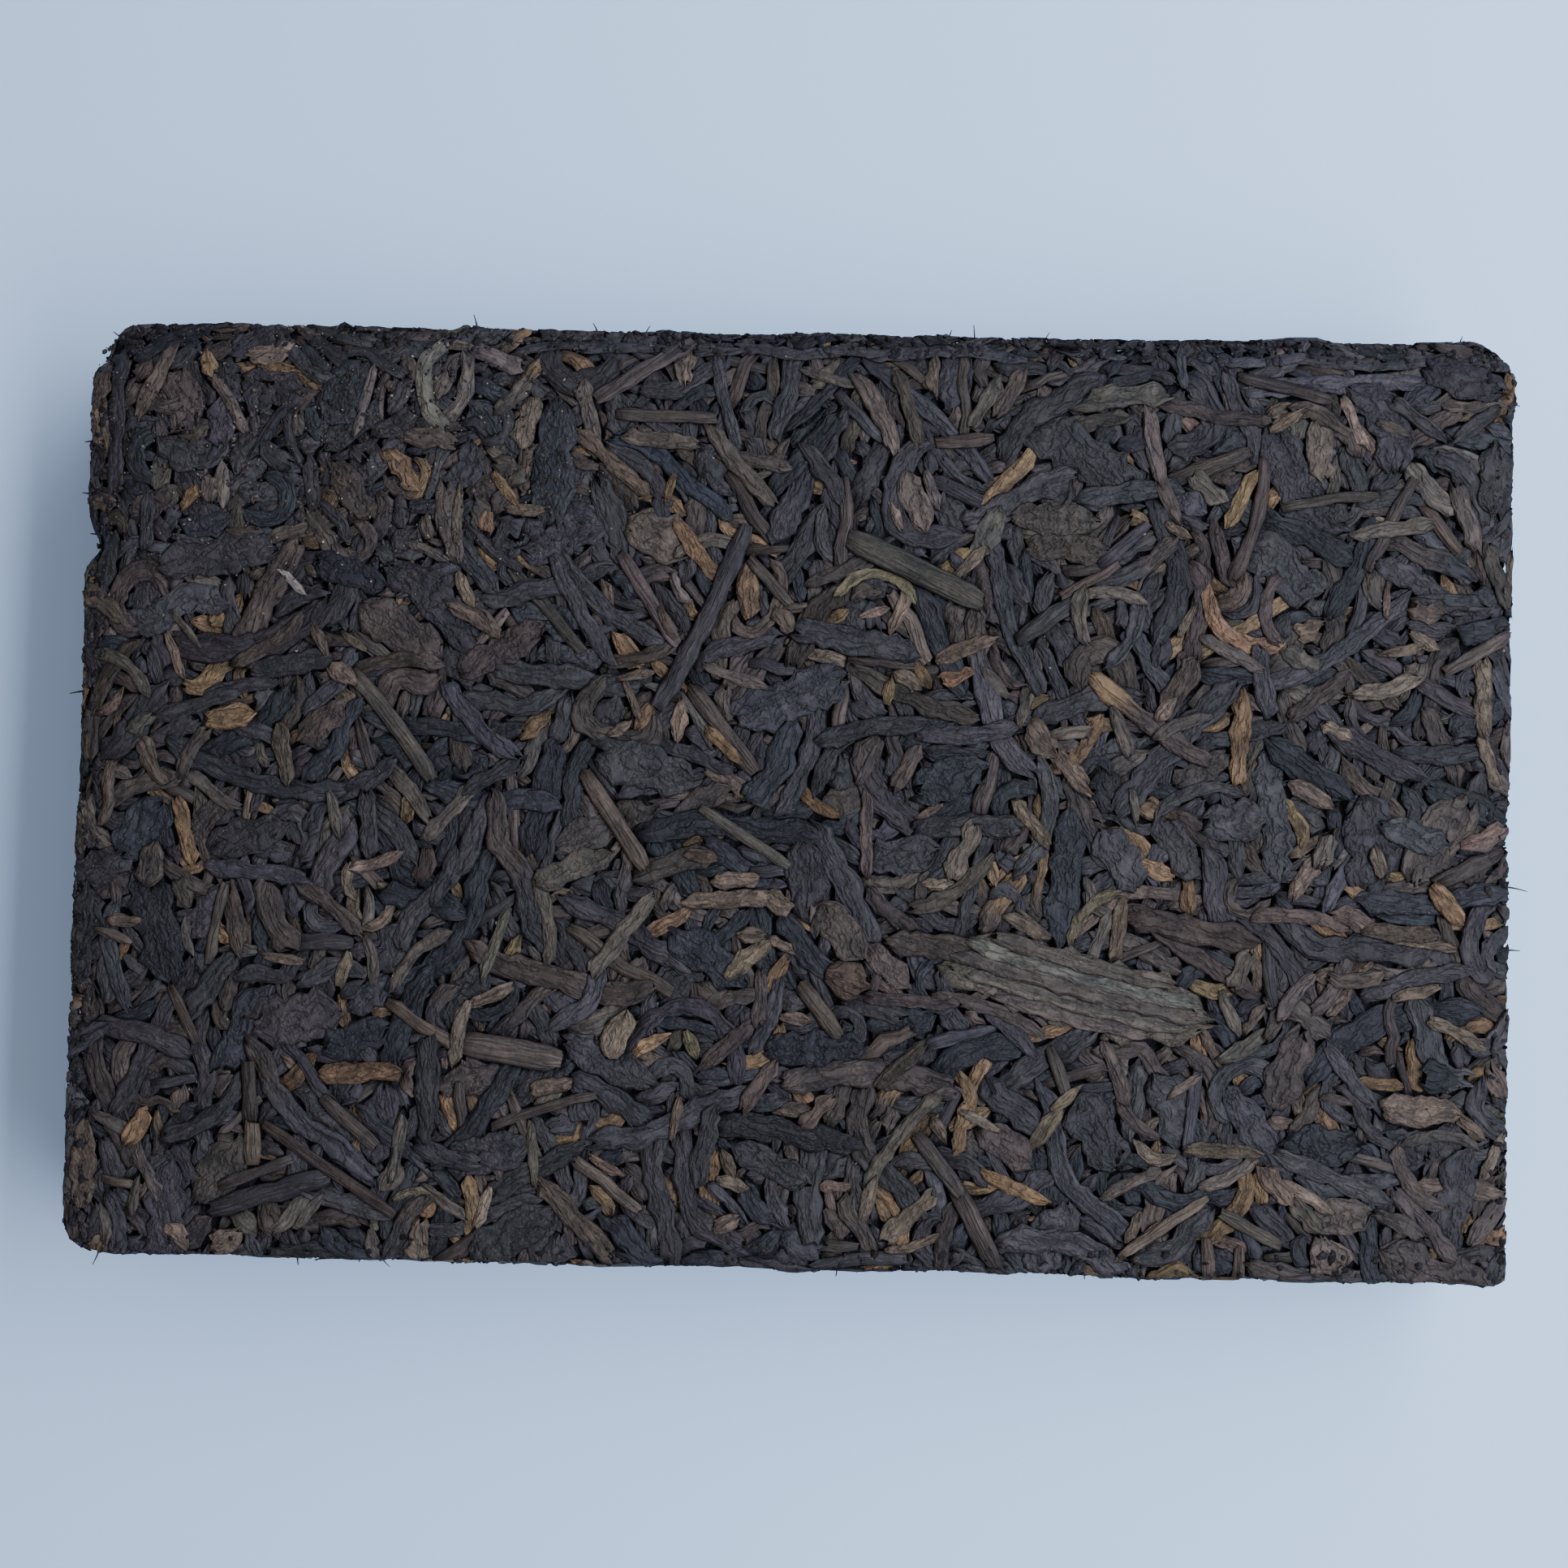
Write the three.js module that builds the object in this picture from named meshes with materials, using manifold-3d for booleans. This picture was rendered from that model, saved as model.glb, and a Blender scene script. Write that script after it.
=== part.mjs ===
// A 250 g brick of ripe pu erh tea, pressed in a mould and lying on its broad face.
// Millimetres, +Z up. The origin is the middle of the underside, +X runs along the brick's
// length and +Y towards its worn back edge.
import * as THREE from "three";
import { mergeVertices } from "three/addons/utils/BufferGeometryUtils.js";
import Module from "manifold-3d";

// Driving dimensions
const LENGTH = 150;
const WIDTH = 99;
const THICKNESS = 21;

// How each upper edge falls away from the pressed face: the mould's plunger leaves the front
// and right edges crisp, and the back and left ones have crumbled to a slope.
const EDGES = {
  back: { run: 3.8, drop: 3.2 },
  front: { run: 1.3, drop: 0.9 },
  left: { run: 2.8, drop: 1.7 },
  right: { run: 1.4, drop: 1.0 },
};
const FOOT = { run: 1.6, lift: 1.2 };

// Upright corners, by the signs of x and y: the radius that wear has given each one.
const CORNERS = [
  { name: "back left", sx: -1, sy: 1, radius: 5.5 },
  { name: "back right", sx: 1, sy: 1, radius: 4.5 },
  { name: "front left", sx: -1, sy: -1, radius: 4.5 },
  { name: "front right", sx: 1, sy: -1, radius: 1.5 },
];

// Bites where leaves have broken off the rim: centre, reach and depth into the brick.
const BITES = [
  { x: -40, y: 49, reach: 4.0, depth: 0.9 },
  { x: -6, y: 49, reach: 3.5, depth: 0.4 },
  { x: 75, y: -2, reach: 4.5, depth: 0.6 },
  { x: -75, y: 26, reach: 3.5, depth: 0.6 },
  { x: -73, y: 45, reach: 5.0, depth: 0.7 },
  { x: 60, y: 49, reach: 5.0, depth: 0.4 },
];

// Unevenness
const WALL_WAVE = 0.45; // in and out of the four walls
const FACE_WAVE = 0.3; // slow rise and fall of the pressed face
const LEAF_RELIEF = 0.35; // the leaves that stand out of the pressed face
const WAVE_PITCH = 9; // from one swelling of a wall to the next
const LEAF_PITCH = 3.6; // from one leaf to the next
const DRAFT = 0.35; // how much narrower than the foot each wall is at the face

// Lattice
const STEPS_X = 42;
const STEPS_Y = 28;
const STEPS_Z = 6;
const RIM_CROWDING = 0.45; // share by which the lattice closes up towards the rims
const SPARE_BELOW = 0.6; // cut off again, which leaves the underside one flat face

const clamp01 = (t) => Math.min(1, Math.max(0, t));
const smooth = (t) => clamp01(t) ** 2 * (3 - 2 * clamp01(t));
const mix = (a, b, t) => a + (b - a) * t;

// A repeatable number from -1 to 1 for each cell of a lattice.
function cellValue(i, j, k) {
  const s = Math.sin(i * 127.1 + j * 311.7 + k * 74.7) * 43758.5453;
  return 2 * (s - Math.floor(s)) - 1;
}

// Smooth noise from -1 to 1 with swellings a pitch apart.
function noise(x, y, z, pitch) {
  const p = [x, y, z].map((c) => c / pitch);
  const cell = p.map(Math.floor);
  const t = p.map((c, axis) => smooth(c - cell[axis]));
  const along = (j, k) =>
    mix(cellValue(cell[0], cell[1] + j, cell[2] + k), cellValue(cell[0] + 1, cell[1] + j, cell[2] + k), t[0]);
  const plane = (k) => mix(along(0, k), along(1, k), t[1]);
  return mix(plane(0), plane(1), t[2]);
}

// Moves a lattice coordinate from -1 to 1 so that the lines crowd towards both ends.
const crowd = (u) => mix(u, Math.sin((u * Math.PI) / 2), RIM_CROWDING);

// Rounds the upright corners: the square beside a corner is squeezed onto a quarter disc.
function roundCorner(x, y) {
  const corner = CORNERS.find((c) => x * c.sx >= 0 && y * c.sy >= 0);
  const dx = x * corner.sx - (LENGTH / 2 - corner.radius);
  const dy = y * corner.sy - (WIDTH / 2 - corner.radius);
  if (dx <= 0 || dy <= 0) return [x, y];
  const squeeze = Math.max(dx, dy) / Math.hypot(dx, dy);
  return [
    corner.sx * (LENGTH / 2 - corner.radius + dx * squeeze),
    corner.sy * (WIDTH / 2 - corner.radius + dy * squeeze),
  ];
}

// Distance from each rim, measured on the unrounded rectangle.
function rimDistances(x, y) {
  return {
    back: WIDTH / 2 - y,
    front: y + WIDTH / 2,
    left: x + LENGTH / 2,
    right: LENGTH / 2 - x,
  };
}

// How far the upper face lies below the press at a point: the steepest of the four edges there.
// The left edge is crumbled towards the back, and crisp towards the front.
function edgeDrop(x, y) {
  const d = rimDistances(x, y);
  const wornLeft = mix(0.45, 1, smooth((y + WIDTH / 6) / (WIDTH / 3)));
  const worn = { back: 1, front: 1, left: wornLeft, right: 1 };
  return Math.max(
    ...Object.keys(EDGES).map((side) => {
      const { run, drop } = EDGES[side];
      return worn[side] * drop * (1 - smooth(d[side] / (run * 1.6)));
    }),
  );
}

function biteDepth(x, y) {
  return BITES.reduce((sum, b) => {
    const far = Math.hypot(x - b.x, y - b.y) / b.reach;
    return sum + b.depth * (1 - smooth(far));
  }, 0);
}

function faceHeight(x, y) {
  const wave = FACE_WAVE * noise(x, y, 0, WAVE_PITCH * 3);
  const leaves = LEAF_RELIEF * noise(x, y, 50, LEAF_PITCH);
  return THICKNESS - edgeDrop(x, y) + wave + leaves - 1.5 * biteDepth(x, y);
}

function footHeight(x, y) {
  const nearest = Math.min(...Object.values(rimDistances(x, y)));
  return (SPARE_BELOW + FOOT.lift) * (1 - smooth(nearest / (FOOT.run * 1.6))) - SPARE_BELOW;
}

// Shapes one lattice point. u, v and w run from -1 to 1 along X, Y and Z.
function pressed(u, v, w) {
  const x = (crowd(u) * LENGTH) / 2;
  const y = (crowd(v) * WIDTH) / 2;
  const z = mix(footHeight(x, y), faceHeight(x, y), (w + 1) / 2);
  const [rx, ry] = roundCorner(x, y);
  const onWall = Math.max(Math.abs(u), Math.abs(v)) ** 12;
  const swell = WALL_WAVE * (noise(rx, ry, z, WAVE_PITCH) + noise(rx, ry, z + 90, LEAF_PITCH));
  const inset = DRAFT * (z / THICKNESS) + biteDepth(rx, ry) - swell;
  const far = Math.hypot(rx / LENGTH, ry / WIDTH);
  const outward = [rx / LENGTH / far, ry / WIDTH / far];
  const share = far > 0 ? onWall * inset : 0;
  return share === 0 ? [rx, ry, z] : [rx - outward[0] * share, ry - outward[1] * share, z];
}

// The brick's lattice, shaped and closed up.
function pressedBlock() {
  const box = new THREE.BoxGeometry(2, 2, 2, STEPS_X, STEPS_Y, STEPS_Z);
  const at = box.attributes.position;
  for (let i = 0; i < at.count; i++) {
    at.setXYZ(i, ...pressed(at.getX(i), at.getY(i), at.getZ(i)));
  }
  box.deleteAttribute("normal");
  box.deleteAttribute("uv");
  return mergeVertices(box, 1e-4);
}

const wasm = await Module();
wasm.setup();

function solidOf(geometry) {
  const bare = geometry.clone();
  bare.deleteAttribute("normal");
  bare.deleteAttribute("uv");
  const closed = mergeVertices(bare, 1e-4);
  return new wasm.Manifold(
    new wasm.Mesh({
      numProp: 3,
      vertProperties: closed.attributes.position.array,
      triVerts: new Uint32Array(closed.index.array),
    }),
  );
}

function geometryOf(solid) {
  const mesh = solid.getMesh();
  const geometry = new THREE.BufferGeometry();
  geometry.setAttribute("position", new THREE.BufferAttribute(mesh.vertProperties, mesh.numProp));
  geometry.setIndex(new THREE.BufferAttribute(mesh.triVerts, 1));
  return geometry;
}

// Cuts off what lies below z = 0, so that the brick rests on one flat face.
function flattened(block) {
  const slab = new THREE.BoxGeometry(2 * LENGTH, 2 * WIDTH, THICKNESS);
  slab.translate(0, 0, -THICKNESS / 2);
  return geometryOf(solidOf(block).subtract(solidOf(slab)));
}

// Brings the brick to its stated size over the leaves that stand out furthest, with the origin
// in the middle of the underside.
function toSize(geometry) {
  geometry.computeBoundingBox();
  const { min, max } = geometry.boundingBox;
  geometry.translate(-(min.x + max.x) / 2, -(min.y + max.y) / 2, -min.z);
  geometry.scale(LENGTH / (max.x - min.x), WIDTH / (max.y - min.y), THICKNESS / (max.z - min.z));
  return geometry;
}

const pressedTea = new THREE.MeshStandardMaterial({ color: "#3b332d", roughness: 0.85, metalness: 0 });

const teaBrick = new THREE.Mesh(toSize(flattened(pressedBlock())), pressedTea);
teaBrick.name = "tea_brick";

const part = new THREE.Group();
part.add(teaBrick);

export default part;
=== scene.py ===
"""A brick of ripe pu erh tea: leaves, stalks and golden tips pressed flush over a crumbly core.

Lengths are millimetres until a mesh is built. Leaves are laid from the outermost inwards, each
one under those that lie on it already, as they show on a brick fresh from its mould.
"""

import logging
import math
from dataclasses import dataclass, field
from enum import Enum
from functools import partial
from typing import Callable

import bpy
import numpy as np
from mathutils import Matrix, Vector
from mathutils.bvhtree import BVHTree


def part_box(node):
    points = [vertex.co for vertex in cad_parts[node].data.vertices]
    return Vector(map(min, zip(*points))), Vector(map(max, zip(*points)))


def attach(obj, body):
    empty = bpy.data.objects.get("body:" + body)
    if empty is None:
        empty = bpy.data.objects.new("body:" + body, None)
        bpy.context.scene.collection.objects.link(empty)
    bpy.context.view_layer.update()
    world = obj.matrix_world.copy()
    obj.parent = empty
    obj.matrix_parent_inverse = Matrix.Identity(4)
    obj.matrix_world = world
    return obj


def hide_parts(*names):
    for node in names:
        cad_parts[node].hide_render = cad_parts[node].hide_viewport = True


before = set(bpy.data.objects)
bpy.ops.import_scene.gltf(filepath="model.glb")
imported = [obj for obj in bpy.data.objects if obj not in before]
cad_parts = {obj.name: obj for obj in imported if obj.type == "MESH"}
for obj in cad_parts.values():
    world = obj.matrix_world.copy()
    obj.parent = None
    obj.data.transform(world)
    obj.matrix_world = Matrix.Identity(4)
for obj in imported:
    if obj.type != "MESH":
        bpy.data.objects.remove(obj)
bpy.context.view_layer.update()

log = logging.getLogger("tea_brick")

MM = 0.001
BRICK_NODE = "tea_brick"
BODY = "root"
MOST_TRIANGLES = 195_000  # in one piece

Heading = Callable[[np.ndarray], float]


# ---------------------------------------------------------------- colours and forms


class Tone(Enum):
    """Colour of a dried leaf, in linear light."""

    CHARCOAL = (0.027, 0.0238, 0.0292)
    INK = (0.016, 0.016, 0.022)
    UMBER = (0.037, 0.0285, 0.0272)
    TAN = (0.052, 0.043, 0.039)
    OLIVE = (0.070, 0.056, 0.038)
    DUSTY = (0.071, 0.061, 0.056)
    AMBER = (0.110, 0.072, 0.044)
    OCHRE = (0.084, 0.062, 0.050)
    RUST = (0.056, 0.041, 0.036)
    PALE = (0.128, 0.117, 0.112)
    # A blue-black that paints shade: on the core seen between the leaves, on the crumbled back band and on
    # the dust in the gaps; also a plain dark tone of a few wall flakes.
    SHADE_BLUE_BLACK = (0.016, 0.015, 0.021)


CHARCOAL, INK, UMBER, TAN, OLIVE, DUSTY, AMBER, OCHRE, RUST, PALE, SHADE_BLUE_BLACK = Tone


@dataclass(frozen=True)
class Form:
    """How one kind of leaf comes out of the press.

    Attributes:
        thickness: Thickness of the middle as a share of the width.
        least: Smallest thickness in millimetres.
        most: Greatest thickness in millimetres.
        flatness: Power of the rounded section, 2 for round and more for flat.
        taper: Share of the length over which the first and the last end narrow.
        tip: Width left at the first and the last end, as a share of the full width.
        ragged: Unevenness of the two edges, as a share of the width.
        tear: Unevenness of the two ends, as a share of the width.
        creases: Number of creases that run along it.
        crease_depth: Depth of a crease in millimetres.
        ripple: Depth of the ripples across it in millimetres.
        columns: Points across its upper side.
        row_pitch: Distance between its cross sections in millimetres.
    """

    thickness: float
    least: float
    most: float
    flatness: float
    taper: tuple[float, float]
    tip: tuple[float, float]
    ragged: float
    tear: float
    creases: int
    crease_depth: float
    ripple: float
    columns: int
    row_pitch: float


class Kind(Enum):
    """The kinds of leaf that the press holds together."""

    STRIP = Form(0.24, 0.36, 0.62, 6.0, (0.10, 0.15), (0.55, 0.38), 0.21, 0.30, 2, 0.15, 0.08, 10, 0.75)
    STEM = Form(0.45, 0.50, 1.10, 2.6, (0.03, 0.03), (0.80, 0.72), 0.06, 0.12, 2, 0.10, 0.03, 8, 1.20)
    TIP = Form(0.34, 0.50, 0.95, 3.6, (0.26, 0.42), (0.45, 0.14), 0.16, 0.12, 3, 0.17, 0.10, 10, 0.60)
    BROAD = Form(0.10, 0.30, 0.45, 6.0, (0.22, 0.30), (0.35, 0.20), 0.20, 0.16, 4, 0.14, 0.12, 13, 0.70)
    FLAKE = Form(0.18, 0.28, 0.45, 6.0, (0.18, 0.22), (0.60, 0.45), 0.32, 0.24, 1, 0.10, 0.10, 8, 0.45)


@dataclass(frozen=True)
class Finish:
    """A dry, matt leaf surface, with streaks that run along the leaf and painted shade in its folds.

    Attributes:
        name: Name of the material.
        roughness: Roughness of the surface.
        specular: Specular level.
        streaks: How much the streaks lighten and darken the colour.
        mottle: How much the blotches lighten and darken the colour.
        streak_height: Height of the streaks in millimetres.
        fold_height: Depth of the sharp folds in millimetres.
        grit_height: Height of the fine grit in millimetres.
        across: Streaks in each millimetre across the leaf.
        along: Streaks in each millimetre along the leaf.
    """

    name: str
    roughness: float
    specular: float
    streaks: float
    mottle: float
    streak_height: float
    fold_height: float
    grit_height: float
    across: float = 2.2
    along: float = 0.32

    def material(self) -> bpy.types.Material:
        """Builds the material.

        Returns:
            The material, which reads the attribute "tint" and the map "leaf_grain".
        """
        made = bpy.data.materials.new(self.name)
        made.use_nodes = True
        tree = made.node_tree
        shader = tree.nodes["Principled BSDF"]
        shader.inputs["Roughness"].default_value = self.roughness
        shader.inputs["Specular IOR Level"].default_value = self.specular
        tint = tree.nodes.new("ShaderNodeAttribute")
        tint.attribute_name = "tint"
        streak = self._noise(tree, "leaf_grain", (self.along, self.across, 1.0), 1.0, 4.0, 0.6)
        lines = self._noise(tree, "leaf_grain", (0.9 * self.along, 0.42 * self.across, 1.0), 1.0, 3.0, 0.55)
        folds = self._valleys(tree, lines, 10.0)
        crumple = self._valleys(tree, self._noise(tree, None, (1.0, 1.0, 1.0), 560.0, 2.0, 0.5), 13.0)
        blotch = self._noise(tree, None, (1.0, 1.0, 1.0), 230.0, 3.0, 0.6)
        mottle = self._noise(tree, None, (1.0, 1.0, 1.0), 1500.0, 4.0, 0.65)
        grit = self._noise(tree, None, (1.0, 1.0, 1.0), 4200.0, 3.0, 0.6)
        colour = tint.outputs["Color"]
        colour = self._vary(tree, colour, streak, (0.3, 0.7), (1 - self.streaks, 1 + self.streaks))
        colour = self._vary(tree, colour, mottle, (0.3, 0.7), (1 - self.mottle, 1 + self.mottle))
        colour = self._vary(tree, colour, blotch, (0.3, 0.7), (1 - 0.8 * self.mottle, 1 + 0.8 * self.mottle))
        # Painted shade: the colour darkens in the valleys of the folds and the crumples.
        colour = self._vary(tree, colour, folds, (0.0, 0.8), (0.70, 1.03))
        colour = self._vary(tree, colour, crumple, (0.0, 0.8), (0.88, 1.02))
        tree.links.new(colour, shader.inputs["Base Color"])
        bump = self._bump(tree, streak, self.streak_height, None)
        bump = self._bump(tree, folds, self.fold_height, bump)
        bump = self._bump(tree, crumple, 0.25 * self.fold_height, bump)
        bump = self._bump(tree, grit, self.grit_height, bump)
        tree.links.new(bump, shader.inputs["Normal"])
        return made

    @staticmethod
    def _valleys(
        tree: bpy.types.NodeTree, noise: bpy.types.NodeSocket, sharpness: float
    ) -> bpy.types.NodeSocket:
        """Turns a noise into plateaus with sharp valleys between them.

        Args:
            tree: The material's nodes.
            noise: A value from 0 to 1, mostly near a half.
            sharpness: How narrow the valleys are.

        Returns:
            0 in the valleys and 1 on the plateaus.
        """
        centred = tree.nodes.new("ShaderNodeMath")
        centred.operation = "SUBTRACT"
        centred.inputs[1].default_value = 0.5
        folded = tree.nodes.new("ShaderNodeMath")
        folded.operation = "ABSOLUTE"
        raised = tree.nodes.new("ShaderNodeMath")
        raised.operation = "MULTIPLY"
        raised.inputs[1].default_value = sharpness
        raised.use_clamp = True
        tree.links.new(noise, centred.inputs[0])
        tree.links.new(centred.outputs["Value"], folded.inputs[0])
        tree.links.new(folded.outputs["Value"], raised.inputs[0])
        return raised.outputs["Value"]

    @staticmethod
    def _noise(
        tree: bpy.types.NodeTree,
        uv_map: str | None,
        stretch: tuple[float, float, float],
        scale: float,
        detail: float,
        roughness: float,
    ) -> bpy.types.NodeSocket:
        """Adds a noise on a UV map, or on the object's own coordinates.

        Args:
            tree: The material's nodes.
            uv_map: Name of the UV map, or None for object coordinates.
            stretch: Scale of the coordinates along each axis.
            scale: Scale of the noise.
            detail: Number of finer layers in the noise.
            roughness: Strength of the finer layers.

        Returns:
            The noise's value, from 0 to 1.
        """
        if uv_map:
            place = tree.nodes.new("ShaderNodeUVMap")
            place.uv_map = uv_map
            source = place.outputs["UV"]
        else:
            source = tree.nodes.new("ShaderNodeTexCoord").outputs["Object"]
        mapping = tree.nodes.new("ShaderNodeMapping")
        mapping.inputs["Scale"].default_value = stretch
        noise = tree.nodes.new("ShaderNodeTexNoise")
        noise.inputs["Scale"].default_value = scale
        noise.inputs["Detail"].default_value = detail
        noise.inputs["Roughness"].default_value = roughness
        tree.links.new(source, mapping.inputs["Vector"])
        tree.links.new(mapping.outputs["Vector"], noise.inputs["Vector"])
        return noise.outputs["Fac"]

    @staticmethod
    def _vary(
        tree: bpy.types.NodeTree,
        colour: bpy.types.NodeSocket,
        amount: bpy.types.NodeSocket,
        source: tuple[float, float],
        target: tuple[float, float],
    ) -> bpy.types.NodeSocket:
        """Lightens and darkens a colour.

        Args:
            tree: The material's nodes.
            colour: The colour to vary.
            amount: The value that it is varied by.
            source: The values of the amount that count as lowest and highest.
            target: What the colour is multiplied by there.

        Returns:
            The varied colour.
        """
        spread = tree.nodes.new("ShaderNodeMapRange")
        spread.inputs["From Min"].default_value, spread.inputs["From Max"].default_value = source
        spread.inputs["To Min"].default_value, spread.inputs["To Max"].default_value = target
        mix = tree.nodes.new("ShaderNodeVectorMath")
        mix.operation = "SCALE"
        tree.links.new(amount, spread.inputs["Value"])
        tree.links.new(colour, mix.inputs[0])
        tree.links.new(spread.outputs["Result"], mix.inputs["Scale"])
        return mix.outputs["Vector"]

    @staticmethod
    def _bump(
        tree: bpy.types.NodeTree,
        height: bpy.types.NodeSocket,
        millimetres: float,
        under: bpy.types.NodeSocket | None,
    ) -> bpy.types.NodeSocket:
        """Raises the surface with a height from 0 to 1.

        Args:
            tree: The material's nodes.
            height: The height.
            millimetres: What a height of 1 stands for.
            under: A bump that this one is added to.

        Returns:
            The bumped normal.
        """
        bump = tree.nodes.new("ShaderNodeBump")
        bump.inputs["Distance"].default_value = millimetres * MM
        tree.links.new(height, bump.inputs["Height"])
        if under:
            tree.links.new(under, bump.inputs["Normal"])
        return bump.outputs["Normal"]


DRY_LEAF = Finish("dry_dark_leaf", 0.60, 0.18, 0.15, 0.22, 0.08, 0.15, 0.04)
BROWN_LEAF = Finish("dry_brown_leaf", 0.64, 0.16, 0.17, 0.24, 0.08, 0.15, 0.04)
GOLDEN_LEAF = Finish("golden_tip_down", 0.70, 0.14, 0.24, 0.30, 0.10, 0.16, 0.05, across=2.6, along=0.45)
BROAD_LEAF = Finish("open_leaf_blade", 0.60, 0.18, 0.16, 0.24, 0.09, 0.16, 0.04, across=1.5, along=0.5)
STALK = Finish("woody_stalk", 0.58, 0.18, 0.26, 0.20, 0.10, 0.10, 0.04, across=3.2, along=0.16)
LEAF_DUST = Finish("leaf_dust", 0.75, 0.12, 0.20, 0.35, 0.08, 0.12, 0.10, across=2.0, along=2.0)


# ---------------------------------------------------------------- the skin that leaves are laid on


@dataclass(frozen=True)
class Outline:
    """The brick's rounded outline, seen from above.

    Attributes:
        half_x: Half its length.
        half_y: Half its width.
        radii: Radii of its corners, from the front right one round the back.
    """

    half_x: float
    half_y: float
    radii: tuple[float, float, float, float]

    SIGNS = np.array([[1, -1], [1, 1], [-1, 1], [-1, -1]])

    @property
    def corners(self) -> np.ndarray:
        """Centres of the four corners' arcs."""
        inner = np.array([self.half_x, self.half_y]) - np.array(self.radii)[:, None]
        return self.SIGNS * inner

    @property
    def sides(self) -> np.ndarray:
        """Lengths of the stretches, from the right side round the back, in order."""
        full = 2 * np.array([self.half_y, self.half_x, self.half_y, self.half_x])
        after = np.roll(self.radii, -1)
        return np.stack([full - self.radii - after, after * math.pi / 2], -1).ravel()

    @property
    def length(self) -> float:
        """Length of the whole outline."""
        return float(self.sides.sum())

    def at(self, s: np.ndarray) -> tuple[np.ndarray, np.ndarray]:
        """Finds points on the outline.

        Args:
            s: Distances along the outline, from the front end of the right side.

        Returns:
            The points, and the directions that face out of them.
        """
        s = np.mod(s, self.length)
        ends = np.cumsum(self.sides)
        stretch = np.searchsorted(ends, s, side="right").clip(0, 7)
        t = s - (ends - self.sides)[stretch]
        quarter = stretch // 2
        bend = stretch % 2 == 1
        radii = np.array(self.radii)
        after = (quarter + 1) % 4
        turn = quarter * (math.pi / 2) + np.where(bend, t / radii[after], 0.0)
        out = np.stack([np.cos(turn), np.sin(turn)], -1)
        start = self.corners[quarter] + out * radii[quarter][..., None]
        end = self.corners[after] + out * radii[after][..., None]
        share = np.where(bend, 1.0, t / self.sides[stretch])[..., None]
        return start + (end - start) * share, out

    def nearest(self, x: np.ndarray, y: np.ndarray) -> tuple[np.ndarray, np.ndarray, np.ndarray]:
        """Measures how points lie to the outline.

        Args:
            x: The points' places along the length.
            y: The points' places along the width.

        Returns:
            The distance along the outline, the distance outside it, and the direction out of it.
        """
        right, back = x > 0, y > 0
        beside = np.where(right, np.where(back, 1, 0), np.where(back, 2, 3))
        radius = np.array(self.radii)[beside]
        hx, hy = self.half_x - radius, self.half_y - radius
        cx, cy = np.clip(x, -hx, hx), np.clip(y, -hy, hy)
        dx, dy = x - cx, y - cy
        far = np.hypot(dx, dy)
        inside = far < 1e-9
        room = np.stack([self.half_x - np.abs(x), self.half_y - np.abs(y)], -1)
        flat = np.where(room[..., :1] < room[..., 1:], [1.0, 0.0], [0.0, 1.0]) * np.stack(
            [np.sign(x), np.sign(y)], -1
        )
        safe = np.where(inside, 1.0, far)
        out = np.where(inside[..., None], flat, np.stack([dx, dy], -1) / safe[..., None])
        gap = np.where(inside, -room.min(-1), far - radius)
        turn = np.mod(np.arctan2(out[..., 1], out[..., 0]) + 1e-9, 2 * math.pi)
        quarter = np.floor(turn / (math.pi / 2)).astype(int) % 4
        starts = np.concatenate([[0.0], np.cumsum(self.sides)])[::2][:4]
        first = np.abs(self.corners)[quarter, (quarter + 1) % 2]
        along = np.stack([cy, -cx, -cy, cx], -1)
        run = first + np.take_along_axis(along, quarter[..., None], -1)[..., 0]
        bend = np.array(self.radii)[(quarter + 1) % 4] * (turn - quarter * (math.pi / 2) - 1e-9)
        return starts[quarter] + run + bend, gap, out


def blurred(grid: np.ndarray, reach: float, wraps: bool) -> np.ndarray:
    """Smooths a grid.

    Args:
        grid: Values on a regular grid.
        reach: How far the smoothing reaches, in cells.
        wraps: Whether the first axis closes on itself.

    Returns:
        The smoothed grid.
    """
    taps = np.arange(-int(3 * reach), int(3 * reach) + 1)
    weight = np.exp(-0.5 * (taps / reach) ** 2)
    weight /= weight.sum()
    for axis in (0, 1):
        mode = "wrap" if wraps and axis == 0 else "edge"
        pad = [(0, 0), (0, 0)]
        pad[axis] = (len(taps) // 2, len(taps) // 2)
        wide = np.pad(grid, pad, mode=mode)
        size = grid.shape[axis]
        grid = sum(w * wide.take(range(k, k + size), axis) for k, w in enumerate(weight))
    return grid


def bilinear(grid: np.ndarray, i: np.ndarray, j: np.ndarray) -> np.ndarray:
    """Reads a grid between its points.

    Args:
        grid: Values on a regular grid.
        i: Places along the first axis, in cells.
        j: Places along the second axis, in cells.

    Returns:
        The values there.
    """
    i = np.clip(i, 0, grid.shape[0] - 1.0001)
    j = np.clip(j, 0, grid.shape[1] - 1.0001)
    a, b = i.astype(int), j.astype(int)
    p, q = i - a, j - b
    low = grid[a, b] * (1 - p) + grid[a + 1, b] * p
    high = grid[a, b + 1] * (1 - p) + grid[a + 1, b + 1] * p
    return low * (1 - q) + high * q


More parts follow.
